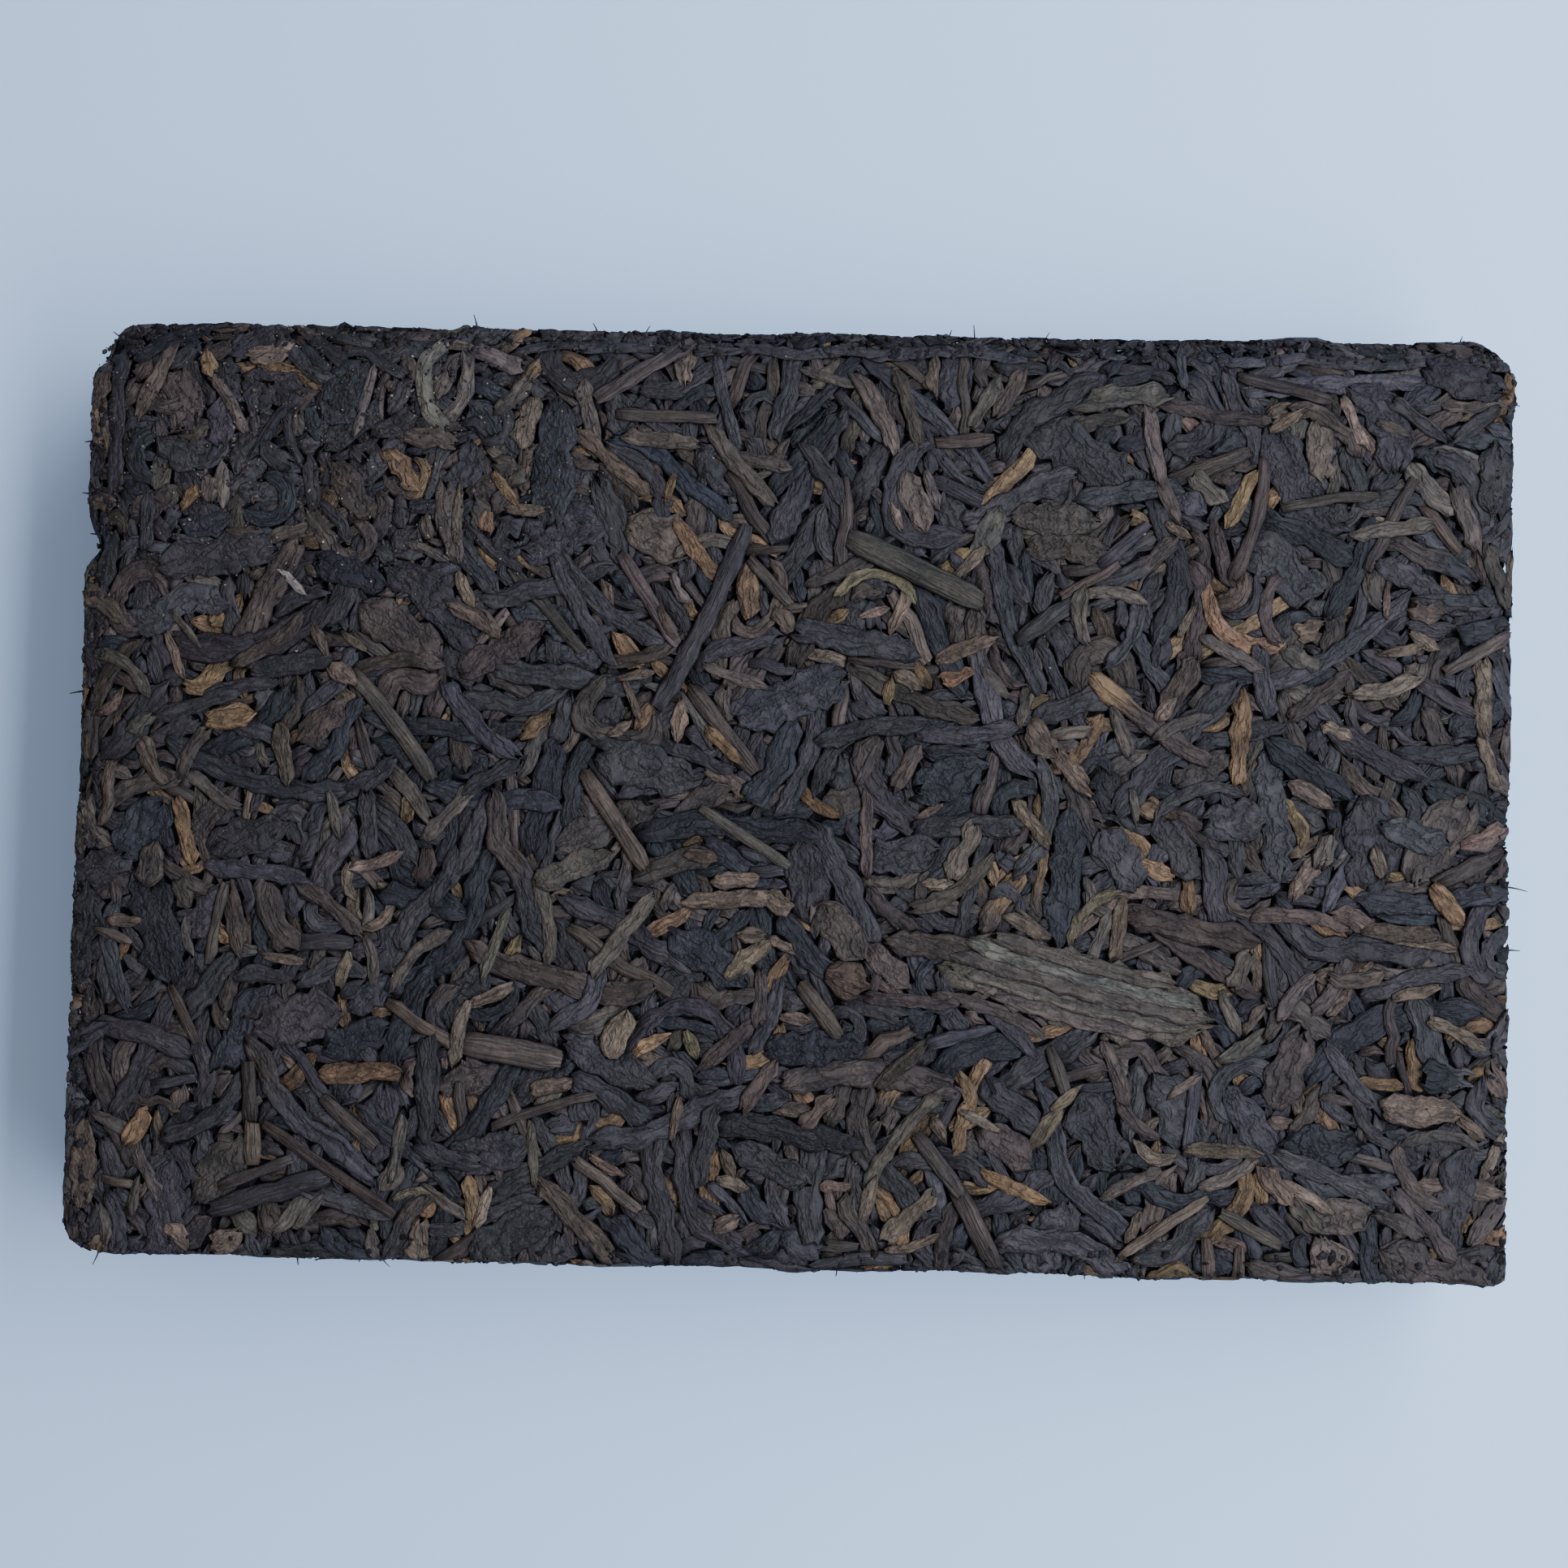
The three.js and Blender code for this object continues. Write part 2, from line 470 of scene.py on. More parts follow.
class Probe:
    """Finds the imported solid's surface with rays, in millimetres."""

    PITCH = 0.5

    def __init__(self, node: bpy.types.Object) -> None:
        """Takes the solid's faces from its node."""
        mesh = node.data
        mesh.calc_loop_triangles()
        at = [v.co / MM for v in mesh.vertices]
        self.tree = BVHTree.FromPolygons(at, [t.vertices for t in mesh.loop_triangles])
        low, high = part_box(BRICK_NODE)
        self.low, self.high = np.array(low) / MM, np.array(high) / MM

    def distances(self, starts: np.ndarray, ways: np.ndarray, reach: float) -> np.ndarray:
        """Measures how far off the surface is.

        Args:
            starts: Where the rays start.
            ways: Where they point.
            reach: How far they go.

        Returns:
            The distance along each ray, or NaN where it misses.
        """
        found = np.full(len(starts), np.nan)
        for k, (start, way) in enumerate(zip(starts, ways)):
            hit = self.tree.ray_cast(Vector(start), Vector(way), reach)
            if hit[3] is not None:
                found[k] = hit[3]
        return found


def patched(grid: np.ndarray) -> np.ndarray:
    """Fills the missing values of a grid from their neighbours."""
    while np.isnan(grid).any():
        wide = np.pad(grid, 1, mode="edge")
        near = np.stack([wide[2:, 1:-1], wide[:-2, 1:-1], wide[1:-1, 2:], wide[1:-1, :-2]])
        known = ~np.isnan(near)
        mean = np.where(known, near, 0).sum(0) / np.maximum(known.sum(0), 1)
        grid = np.where(np.isnan(grid) & known.any(0), mean, grid)
    return grid


class Cover:
    """Where a sheet is covered already, and how deep under the skin the free space starts there."""

    PITCH = 0.25
    CORE_DEPTH = 1.15

    def __init__(self, low: tuple[float, float], high: tuple[float, float], wraps: bool) -> None:
        """Makes an uncovered sheet between two corners."""
        self.low = np.array(low)
        self.shape = tuple(np.ceil((np.array(high) - low) / self.PITCH).astype(int) + 1)
        self.wraps = wraps
        self.depth = np.zeros(self.shape, np.float32)
        self.surface = np.full(self.shape, self.CORE_DEPTH, np.float32)
        self.bare = np.ones(self.shape, bool)

    def cell(self, u: np.ndarray, v: np.ndarray) -> tuple[np.ndarray, np.ndarray]:
        """Finds the cells that points lie in."""
        i = np.rint((u - self.low[0]) / self.PITCH).astype(int)
        j = np.rint((v - self.low[1]) / self.PITCH).astype(int)
        i = i % self.shape[0] if self.wraps else i.clip(0, self.shape[0] - 1)
        return i, j.clip(0, self.shape[1] - 1)

    def centres(self) -> tuple[np.ndarray, np.ndarray]:
        """Places of all the cells."""
        i, j = np.indices(self.shape)
        return self.low[0] + i * self.PITCH, self.low[1] + j * self.PITCH

    def fill(self, u: np.ndarray, v: np.ndarray, upper: np.ndarray, lower: np.ndarray) -> None:
        """Takes up the space of a leaf.

        Args:
            u: Places in the leaf, along the sheet.
            v: Places in the leaf, across the sheet.
            upper: Depth of its outer side there.
            lower: Depth of its inner side there.
        """
        cell = self.cell(u, v)
        fresh = self.depth[cell] == 0
        self.surface[cell] = np.where(fresh, upper, self.surface[cell])
        np.maximum.at(self.depth, cell, lower.astype(np.float32))
        self.bare[cell] = False

    def holes(self, least: int) -> np.ndarray:
        """Finds the bare cells with enough bare neighbours.

        Args:
            least: How many of the nine cells round a hole's cell are bare.

        Returns:
            Flat indices of the cells.
        """
        wide = np.pad(self.bare, 1).astype(np.int8)
        near = sum(wide[a : a + self.shape[0], b : b + self.shape[1]] for a in range(3) for b in range(3))
        return np.flatnonzero(self.bare & (near >= least))


class Sheet:
    """A stretch of skin with coordinates of its own, along u and across v."""

    outward = 1  # -1 where u, v and the way out make a left-handed set

    def __init__(self, low: tuple[float, float], high: tuple[float, float], wraps: bool = False) -> None:
        """Makes the sheet between two corners."""
        self.cover = Cover(low, high, wraps)

    def place(self, u: np.ndarray, v: np.ndarray, depth: np.ndarray) -> np.ndarray:
        """Turns places on the sheet into points.

        Args:
            u: Places along the sheet.
            v: Places across the sheet.
            depth: Depths under the skin.

        Returns:
            The points in space.
        """
        raise NotImplementedError

    def on(self, u: np.ndarray, v: np.ndarray, spare: float) -> np.ndarray:
        """Says which places lie on the sheet.

        Args:
            u: Places along the sheet.
            v: Places across the sheet.
            spare: How far past its rim they may lie.

        Returns:
            True for each place that does.
        """
        raise NotImplementedError


class Wall(Sheet):
    """The four walls in one band: u runs round the outline and v is the height."""

    LOWEST = 0.05
    ROUGH = 0.30  # how far the torn leaf ends make the wall uneven

    def __init__(self, probe: Probe, outline: Outline, rng: np.random.Generator) -> None:
        """Probes the walls all round.

        Args:
            probe: The rays.
            outline: The outline that the walls stand on.
            rng: Source of the unevenness.
        """
        self.outline = outline
        self.top = float(probe.high[2])
        super().__init__((0.0, 0.0), (outline.length, self.top), wraps=True)
        self.steps = int(outline.length / probe.PITCH)
        rows = int(self.top / probe.PITCH) + 1
        s = np.arange(self.steps) * outline.length / self.steps
        at, out = outline.at(s)
        away = 4.0
        heights = np.linspace(0.4, self.top - 0.4, rows)
        starts = np.concatenate([np.c_[at + out * away, np.full(self.steps, z)] for z in heights])
        ways = np.tile(np.c_[-out, np.zeros(self.steps)], (rows, 1))
        hit = probe.distances(starts, ways, 3 * away).reshape(rows, self.steps).T
        wave = patched(np.where(away - hit < -2.2, np.nan, away - hit))
        rough = sum(blurred(rng.normal(0, reach, wave.shape), reach, wraps=True) for reach in (1.1, 3.0))
        self.wave = blurred(wave, 1.6, wraps=True) + self.ROUGH * np.clip(rough, -1.6, 0.9)

    def bulge(self, s: np.ndarray, z: np.ndarray) -> np.ndarray:
        """Measures how far the wall stands out of the outline."""
        i = np.mod(s, self.outline.length) / self.outline.length * self.steps
        grid = np.concatenate([self.wave, self.wave[:2]])
        return bilinear(grid, i, z / self.top * (self.wave.shape[1] - 1))

    def place(self, u: np.ndarray, v: np.ndarray, depth: np.ndarray) -> np.ndarray:
        """Turns places on the walls into points."""
        v = np.clip(v, self.LOWEST, self.top - self.LOWEST)
        at, out = self.outline.at(u)
        flat = at + out * (self.bulge(u, v) - depth)[..., None]
        return np.concatenate([flat, v[..., None]], -1)

    def on(self, u: np.ndarray, v: np.ndarray, spare: float) -> np.ndarray:
        """Says which places lie between the underside and the face."""
        return (v > 0.2) & (v < self.top - 0.4)


class Face(Sheet):
    """The upper face or the underside, with flaps that fold over its rim onto the walls."""

    RIM = 0.75  # radius of the fold
    FLAP = 3.2  # how far a leaf may hang over the rim

    def __init__(self, probe: Probe, wall: Wall, outward: int) -> None:
        """Probes the face.

        Args:
            probe: The rays.
            wall: The walls that the flaps fold onto.
            outward: 1 for the upper face and -1 for the underside.
        """
        self.outward = outward
        self.wall = wall
        full = wall.outline
        reach = np.array([full.half_x, full.half_y]) + self.FLAP
        super().__init__(tuple(-reach), tuple(reach))
        size = np.array([full.half_x, full.half_y])
        self.steps = (2 * size / probe.PITCH).astype(int)
        x = np.linspace(-size[0], size[0], self.steps[0] + 1)
        y = np.linspace(-size[1], size[1], self.steps[1] + 1)
        x, y = (a.ravel() for a in np.meshgrid(x, y, indexing="ij"))
        away = 60.0
        starts = np.stack([x, y, np.full_like(x, outward * away)], -1)
        hit = probe.distances(starts, np.tile([0, 0, -outward], (len(x), 1)), 2 * away)
        height = np.where(self.gap(x, y) < 0.1, outward * (away - hit), np.nan)
        self.height = blurred(patched(height.reshape(self.steps + 1)), 1.9, wraps=False)

    def gap(self, u: np.ndarray, v: np.ndarray) -> np.ndarray:
        """Measures how far places lie beyond the line where the fold begins."""
        return self.wall.outline.nearest(u, v)[1] + self.RIM

    def level(self, x: np.ndarray, y: np.ndarray) -> np.ndarray:
        """Measures the height of the skin."""
        half = np.array([self.wall.outline.half_x, self.wall.outline.half_y])
        i = (x + half[0]) / (2 * half[0]) * self.steps[0]
        j = (y + half[1]) / (2 * half[1]) * self.steps[1]
        return bilinear(self.height, i, j)

    def place(self, u: np.ndarray, v: np.ndarray, depth: np.ndarray) -> np.ndarray:
        """Turns places on the face and its flaps into points."""
        s, gap, out = self.wall.outline.nearest(u, v)
        over = np.maximum(gap + self.RIM, 0.0)
        foot = np.stack([u, v], -1) - out * over[..., None]
        z = self.level(foot[..., 0], foot[..., 1])
        turn = np.clip(over / self.RIM, 0, math.pi / 2)
        past = np.maximum(over - self.RIM * math.pi / 2, 0)
        z = z - self.outward * (self.RIM * (1 - np.cos(turn)) + past)
        bulge = self.wall.bulge(s, z) * np.sin(turn) ** 2
        flat = foot + out * (self.RIM * np.sin(turn) + bulge - np.sin(turn) * depth)[..., None]
        z = z - self.outward * np.cos(turn) * depth
        return np.concatenate([flat, z[..., None]], -1)

    def on(self, u: np.ndarray, v: np.ndarray, spare: float) -> np.ndarray:
        """Says which places lie on the face or on its flaps."""
        return self.gap(u, v) < spare

    def hand_over(self) -> None:
        """Tells the walls what hangs over the rim onto them."""
        u, v = self.wall.cover.centres()
        at, out = self.wall.outline.at(u)
        at = at - out * self.RIM
        below = self.outward * (self.level(at[..., 0], at[..., 1]) - v)
        over = below - self.RIM + self.RIM * math.pi / 2
        spot = at + out * np.maximum(over, 0.6)[..., None]
        cell = self.cover.cell(spot[..., 0], spot[..., 1])
        near = over < self.FLAP
        covered = near & ((self.cover.depth[cell] > 0) | (below < 0.25))
        taken = self.wall.cover
        taken.depth = np.where(near, np.maximum(taken.depth, self.cover.depth[cell]), taken.depth)
        taken.surface = np.where(covered, self.cover.surface[cell], taken.surface)
        taken.bare &= ~covered


# ---------------------------------------------------------------- leaves and the press


@dataclass
class Strand:
    """One leaf, stalk or bud before it is pressed.

    Attributes:
        kind: What it is.
        tone: Its colour.
        width: Its full width in millimetres.
        bends: The points that its middle line passes.
        sink: Depth of its outer side under the skin.
        end_tone: Colour of its last end, where that differs.
    """

    kind: Kind
    tone: Tone
    width: float
    bends: np.ndarray
    sink: float = 0.02
    end_tone: Tone | None = None

    STEP = 0.2

    def line(self) -> np.ndarray:
        """Draws the middle line.

        Returns:
            Points a step apart along a smooth line through the bends.
        """
        legs = np.hypot(*np.diff(self.bends, axis=0).T)
        ends = np.concatenate([[0.0], np.cumsum(legs)])
        count = max(9, int(ends[-1] / self.STEP) + 1)
        at = np.linspace(0, ends[-1], count)
        line = np.stack([np.interp(at, ends, self.bends[:, k]) for k in (0, 1)], -1)
        if len(self.bends) == 2 or len(self.bends) > 12:
            return line
        reach = max(1, int(0.30 * count / (len(self.bends) - 1)))
        weight = np.hanning(2 * reach + 3)[1:-1]
        weight /= weight.sum()
        before = 2 * line[0] - line[reach:0:-1]
        after = 2 * line[-1] - line[-2 : -reach - 2 : -1]
        wide = np.concatenate([before, line, after])
        return np.stack([np.convolve(wide[:, k], weight, mode="valid") for k in (0, 1)], -1)


Place = tuple[float, float]


def arc(place: Place, heading: float, length: float, turn: float) -> np.ndarray:
    """Draws an evenly bent line.

    Args:
        place: Its middle point.
        heading: Its direction there, in degrees.
        length: Its length in millimetres.
        turn: How far it turns from end to end, in degrees, positive to the left.

    Returns:
        Points along the line.
    """
    legs = 14
    along = (np.arange(legs) + 0.5) / legs - 0.5
    angle = np.radians(heading + turn * along)
    steps = np.stack([np.cos(angle), np.sin(angle)], -1) * length / legs
    line = np.concatenate([np.zeros((1, 2)), np.cumsum(steps, axis=0)])
    return line - line[legs // 2] + np.array(place, float)


def leaf(
    kind: Kind, tone: Tone, width: float, place: Place, heading: float, length: float, turn: float = 0.0
) -> Strand:
    """Makes a leaf of one kind, evenly bent about its middle."""
    return Strand(kind, tone, width, arc(place, heading, length, turn))


strip = partial(leaf, Kind.STRIP)
stem = partial(leaf, Kind.STEM)
tip = partial(leaf, Kind.TIP)
broad = partial(leaf, Kind.BROAD)
flake = partial(leaf, Kind.FLAKE)


@dataclass
class Heap:
    """All the leaves of one kind, gathered into one piece.

    Attributes:
        name: Name of the piece.
        finish: Its surface.
        slot: Name of a material slot; not used.
    """

    name: str
    finish: Finish
    slot: str
    points: list[np.ndarray] = field(default_factory=list)
    tints: list[np.ndarray] = field(default_factory=list)
    corners: list[np.ndarray] = field(default_factory=list)
    sizes: list[np.ndarray] = field(default_factory=list)
    grain: list[np.ndarray] = field(default_factory=list)
    patch: list[np.ndarray] = field(default_factory=list)
    owner: list[int] = field(default_factory=list)
    extents: list[tuple[float, float]] = field(default_factory=list)
    count: int = 0
    triangles: int = 0

    def add(
        self,
        points: np.ndarray,
        tints: np.ndarray,
        faces: list[np.ndarray],
        grain: np.ndarray,
        patch: list[np.ndarray],
        extent: tuple[float, float],
    ) -> None:
        """Adds one closed shape.

        Args:
            points: Its points, in millimetres.
            tints: The colour at each point.
            faces: Arrays of faces, each of faces with the same number of corners.
            grain: Place of each point's grain, in millimetres.
            patch: Place of each face's corners in the shape's own unit square, array by array.
            extent: Size of the shape's patch, in millimetres.
        """
        self.points.append(points)
        self.tints.append(tints)
        for group, spots in zip(faces, patch):
            self.corners.append(group.ravel() + self.count)
            self.sizes.append(np.full(len(group), group.shape[1]))
            self.grain.append(grain[group.ravel()])
            self.patch.append(spots.reshape(-1, 2))
            self.owner.append((len(self.extents), group.size))
            self.triangles += len(group) * (group.shape[1] - 2)
        self.extents.append(extent)
        self.count += len(points)

    def _packed(self) -> tuple[np.ndarray, np.ndarray]:
        """Packs the patches into the unit square, shelf by shelf.

        Returns:
            The corner and the size of each patch.
        """
        extents = np.array(self.extents)
        order = np.argsort(-extents[:, 1], kind="stable")
        scale = 0.97 / math.sqrt((extents[:, 0] * extents[:, 1]).sum())
        while True:
            corner = np.zeros((len(extents), 2))
            x = y = shelf = 0.0
            for k in order:
                w, h = extents[k] * scale
                if x + w > 1:
                    x, y, shelf = 0.0, y + shelf, 0.0
                corner[k] = (x, y)
                x += w
                shelf = max(shelf, h)
            if y + shelf <= 1:
                return corner, extents * scale
            scale *= 0.98

    def piece(self) -> bpy.types.Object:
        """Builds the piece.

        Returns:
            The object, with its attribute "tint" and its maps "OFBake" and "leaf_grain".
        """
        mesh = bpy.data.meshes.new(self.name)
        points = np.concatenate(self.points) * MM
        points[:, 2] = np.maximum(points[:, 2], 0.0)
        corners = np.concatenate(self.corners)
        sizes = np.concatenate(self.sizes)
        mesh.vertices.add(len(points))
        mesh.vertices.foreach_set("co", points.astype(np.float32).ravel())
        mesh.loops.add(len(corners))
        mesh.loops.foreach_set("vertex_index", corners.astype(np.int32))
        mesh.polygons.add(len(sizes))
        starts = np.concatenate([[0], np.cumsum(sizes)[:-1]])
        mesh.polygons.foreach_set("loop_start", starts.astype(np.int32))
        mesh.polygons.foreach_set("use_smooth", np.ones(len(sizes), bool))
        mesh.update(calc_edges=True)
        tint = mesh.attributes.new("tint", "FLOAT_COLOR", "POINT")
        tints = np.c_[np.concatenate(self.tints), np.ones(len(points))]
        tint.data.foreach_set("color", tints.astype(np.float32).ravel())
        owner, counts = np.array(self.owner).T
        owner = np.repeat(owner, counts)
        corner, size = self._packed()
        margin = 0.06
        spots = margin + (1 - 2 * margin) * np.concatenate(self.patch)
        atlas = mesh.uv_layers.new(name="OFBake", do_init=False)
        atlas.data.foreach_set("uv", (corner[owner] + spots * size[owner]).astype(np.float32).ravel())
        grain = mesh.uv_layers.new(name="leaf_grain", do_init=False)
        grain.data.foreach_set("uv", np.concatenate(self.grain).astype(np.float32).ravel())
        mesh.uv_layers.active = grain
        grain.active_render = True
        made = bpy.data.objects.new(self.name, mesh)
        bpy.context.scene.collection.objects.link(made)
        mesh.materials.append(self.finish.material())
        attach(made, BODY)
        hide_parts(BRICK_NODE)
        log.info("%s: %d leaves, %d triangles", self.name, len(self.extents), self.triangles)
        if self.triangles > MOST_TRIANGLES:
            log.warning("%s has too many triangles", self.name)
        return made


def tube(rows: int, around: int) -> tuple[list[np.ndarray], list[np.ndarray]]:
    """Joins rings of points into a closed tube.

    Args:
        rows: How many rings there are.
        around: How many points each ring has, in clockwise order about the way ahead.

    Returns:
        The faces of the tube's side and of its two ends, and the places of their corners in the
        tube's own unit square.
    """
    i, j = (a.ravel() for a in np.indices((rows - 1, around)))
    after = (j + 1) % around
    side = np.stack([i * around + j, (i + 1) * around + j, (i + 1) * around + after, i * around + after], -1)
    ends = np.stack([np.arange(around), (rows * around - 1) - np.arange(around)])
    tall = np.stack([j, j, j + 1, j + 1], -1) / around
    long = np.stack([i, i + 1, i + 1, i], -1) / (rows - 1)
    turn = 2 * math.pi * np.arange(around) / around
    disc = np.stack([0.018 * np.cos(turn), 0.06 + 0.05 * np.sin(turn)], -1)
    discs = np.stack([disc + [0.018, 0.4], disc[::-1] + [0.982, 0.4]])
    return [side, ends], [np.stack([long * 0.92 + 0.04, tall], -1), discs]


def held_back(depth: np.ndarray, slope: float, step: float, axis: int) -> np.ndarray:
    """Deepens a profile until it nowhere falls away faster than a leaf can bend.

    Args:
        depth: Depths on a regular grid.
        slope: Steepest way up, in millimetres for each millimetre.
        step: Distance between points along the axis.
        axis: The axis.

    Returns:
        The depths, none of them less than before.
    """
    depth = np.moveaxis(depth, axis, 0)
    ramp = (slope * step * np.arange(len(depth)))[:, None]
    ahead = np.maximum.accumulate(depth + ramp) - ramp
    behind = np.maximum.accumulate((depth - ramp)[::-1])[::-1] + ramp
    return np.moveaxis(np.maximum(ahead, behind), 0, axis)


def eased(depth: np.ndarray, rounds: int) -> np.ndarray:
    """Rounds off the kinks of a profile along its first axis."""
    for _ in range(rounds):
        wide = np.concatenate([depth[:1], depth, depth[-1:]])
        depth = 0.25 * wide[:-2] + 0.5 * wide[1:-1] + 0.25 * wide[2:]
    return depth


Heaps = dict[Kind | tuple[Kind, Tone], Heap]


class Press:
    """Lays leaves flush on a sheet, each under those that are there already."""

    ALONG_SLOPE = 0.85
    ACROSS_SLOPE = 1.10
    DEEPEST = 2.7
    UNDER_POINTS = (0.5, -0.5)
    SHADE_HUE = (1.15, 1.05, 0.86)  # shaded places turn bluish
    PAST_RIM = (0.5, 2.4)  # how far past the fold a leaf is torn off

    def __init__(self, sheet: Sheet, heaps: Heaps, rng: np.random.Generator, detail: float) -> None:
        """Gets the press ready.

        Args:
            sheet: What the leaves are laid on.
            heaps: Gathers the leaves, by kind or by kind and tone.
            rng: Source of the unevenness.
            detail: Share of a form's points that its meshes have.
        """
        self.sheet = sheet
        self.heaps = heaps
        self.rng = rng
        self.detail = detail

    def wave(self, run: np.ndarray, swells: float) -> np.ndarray:
        """Draws an uneven wave from about -1 to 1 along a leaf.

        Args:
            run: Places along the leaf, from 0 to 1.
            swells: How many swellings there are.

        Returns:
            The wave's height at each place.
        """
        phases = self.rng.uniform(0, 2 * math.pi, 3)
        parts = zip((1.0, 0.6, 0.4), (1.0, 1.9, 3.3), phases)
        return sum(a * np.sin(2 * math.pi * f * swells * run + p) for a, f, p in parts) / 1.5

    def profile(self, strand: Strand, run: np.ndarray, length: float) -> tuple[np.ndarray, np.ndarray]:
        """Works out how wide a leaf is on either side of its middle line.

        Args:
            strand: The leaf.
            run: Places along it, from 0 to 1.
            length: Its length.

        Returns:
            The widths to its right and to its left.
        """
        form = strand.kind.value
        ends = []
        for share, left, from_end in zip(form.taper, form.tip, (run, 1 - run)):
            share = max(share, 0.5 * strand.width / length) if share < 0.1 else share
            rise = np.clip(from_end / share, 0, 1)
            ends.append(left + (1 - left) * np.sqrt(rise * (2 - rise)))
        half = 0.5 * strand.width * ends[0] * ends[1]
        swells = max(0.7, length / 6)
        return tuple(half * (1 + form.ragged * self._rag(run, length, swells * k)) for k in (1.0, 1.3))

    def _rag(self, run: np.ndarray, length: float, swells: float) -> np.ndarray:
        """Draws an uneven edge: long swellings with short nicks on them."""
        nicks = self.rng.normal(0, 1, max(4, int(length / 0.7)))
        short = np.interp(run, np.linspace(0, 1, len(nicks)), nicks)
        return 0.8 * self.wave(run, swells) + 0.55 * short

    def creases(self, form: Form, run: np.ndarray, across: np.ndarray) -> np.ndarray:
        """Works out the creases and ripples of a leaf's outer side.

        Args:
            form: The leaf's form.
            run: Places along it, from 0 to 1.
            across: Places across it, from -1 to 1.

        Returns:
            How far each place lies below the smooth form.
        """
        below = np.zeros((len(run), len(across)))
        for k in range(form.creases):
            middle = (2 * (k + self.rng.uniform(0.25, 0.75)) / form.creases - 1) * 0.8
            drift = middle + self.rng.normal(0, 0.35) * (run - 0.5) + 0.12 * self.wave(run, 1.2)
            deep = form.crease_depth * self.rng.uniform(0.5, 1.3) * (1 + 0.4 * self.wave(run, 1.5))
            below += deep[:, None] * np.exp(-(((across[None, :] - drift[:, None]) / 0.16) ** 2))
        ripple = form.ripple * self.wave(run, self.rng.uniform(2, 5))
        return below + ripple[:, None] * (1 - 0.5 * across**2)[None, :]

    def lay(self, strand: Strand, needed: float) -> bool:
        """Lays one leaf, unless too little of it would show.

        Args:
            strand: The leaf.
            needed: The least share of it that lies on bare skin.

        Returns:
            Whether it was laid.
        """
        form = strand.kind.value
        line = strand.line()
        fits = self.sheet.on(line[:, 0], line[:, 1], self.rng.uniform(*self.PAST_RIM))
        if not fits.all():
            kept = np.flatnonzero(fits)
            if len(kept) < 8 or (np.diff(kept) > 1).any():
                return False
            line = line[kept]
        length = (len(line) - 1) * strand.STEP
        run = np.linspace(0, 1, len(line))
        ahead = np.gradient(line, axis=0)
        ahead /= np.maximum(np.hypot(*ahead.T), 1e-9)[:, None]
        right, left = self.profile(strand, run, length)
        across = np.linspace(-1, 1, max(5, int(strand.width / strand.STEP) | 1))
        reach = np.where(across[None, :] < 0, right[:, None], left[:, None]) * across
        u = line[:, :1] - ahead[:, 1:] * reach
        v = line[:, 1:] + ahead[:, :1] * reach
        cover = self.sheet.cover
        cell = cover.cell(u, v)
        if cover.bare[cell].mean() < needed:
            return False
        thick = np.clip(form.thickness * strand.width, form.least, form.most) * self.rng.uniform(0.85, 1.15)
        ends = np.clip(np.minimum(run, 1 - run) / 0.12, 0, 1)
        half = (0.5 * thick * (0.55 + 0.45 * np.sqrt(ends)))[:, None]
        crown = 1 - np.sqrt(1 - np.abs(across) ** form.flatness)
        level = np.maximum(cover.depth[cell] - 0.7 * half * crown, strand.sink)
        pitch = strand.width / (len(across) - 1)
        level = held_back(level, self.ALONG_SLOPE, strand.STEP, 0)
        level = held_back(level, self.ACROSS_SLOPE, pitch, 1)
        level = np.minimum(eased(level, 2), self.DEEPEST)
        upper = level + half * crown
        lower = level + half * (2 - crown)
        cover.fill(u, v, upper, lower)
        self._mould(strand, line, (u, v), (upper, lower, level), run, across, length, thick)
        return True

    def _mould(
        self,
        strand: Strand,
        line: np.ndarray,
        places: tuple[np.ndarray, np.ndarray],
        depths: tuple[np.ndarray, np.ndarray, np.ndarray],
        run: np.ndarray,
        across: np.ndarray,
        length: float,
        thick: float,
    ) -> None:
        """Builds the mesh of a leaf that has been laid, as a closed tube of rings.

        Args:
            strand: The leaf.
            line: Its middle line.
            places: Its places along and across the sheet.
            depths: Depths of its outer side, its inner side and its middle.
            run: Places along it, from 0 to 1.
            across: Places across it, from -1 to 1.
            length: Its length.
            thick: Its thickness.
        """
        form = strand.kind.value
        rows = int(np.clip(length / form.row_pitch * self.detail, 4, 22))
        columns = max(4, round(form.columns * self.detail))
        rows_at = np.linspace(0, len(line) - 1, rows)[:, None]
        over = np.sin(np.linspace(-math.pi / 2, math.pi / 2, columns))
        ring = np.concatenate([over, self.UNDER_POINTS])
        columns_at = ((ring + 1) / 2 * (len(across) - 1))[None, :]
        u, v, upper, lower, level = (bilinear(g, rows_at, columns_at) for g in (*places, *depths))
        is_upper = np.arange(len(ring)) < columns
        step_u, step_v = (bilinear(g, rows_at, columns_at) for g in self._unevenness(strand, places, thick))
        u, v = u + step_u, v + step_v
        spots = run[np.rint(rows_at[:, 0]).astype(int)]
        carved = self.creases(form, spots, ring) * np.clip(thick / 0.5, 0.4, 1.2)
        carved *= (1 - np.abs(ring) ** 6)[None, :]
        depth = np.where(is_upper, upper + carved, lower)
        points = self.sheet.place(u, v, depth).reshape(-1, 3)
        tints = self._tints(strand, spots, ring, level, carved, is_upper).reshape(-1, 3)
        faces, patch = tube(rows, len(ring))
        if self.sheet.outward < 0:
            faces = [group[:, ::-1] for group in faces]
            patch = [group[:, ::-1] for group in patch]
        start = self.rng.uniform(0, 40, 2)
        spread = np.concatenate([over, 2 - np.array(self.UNDER_POINTS)]) * strand.width / 2
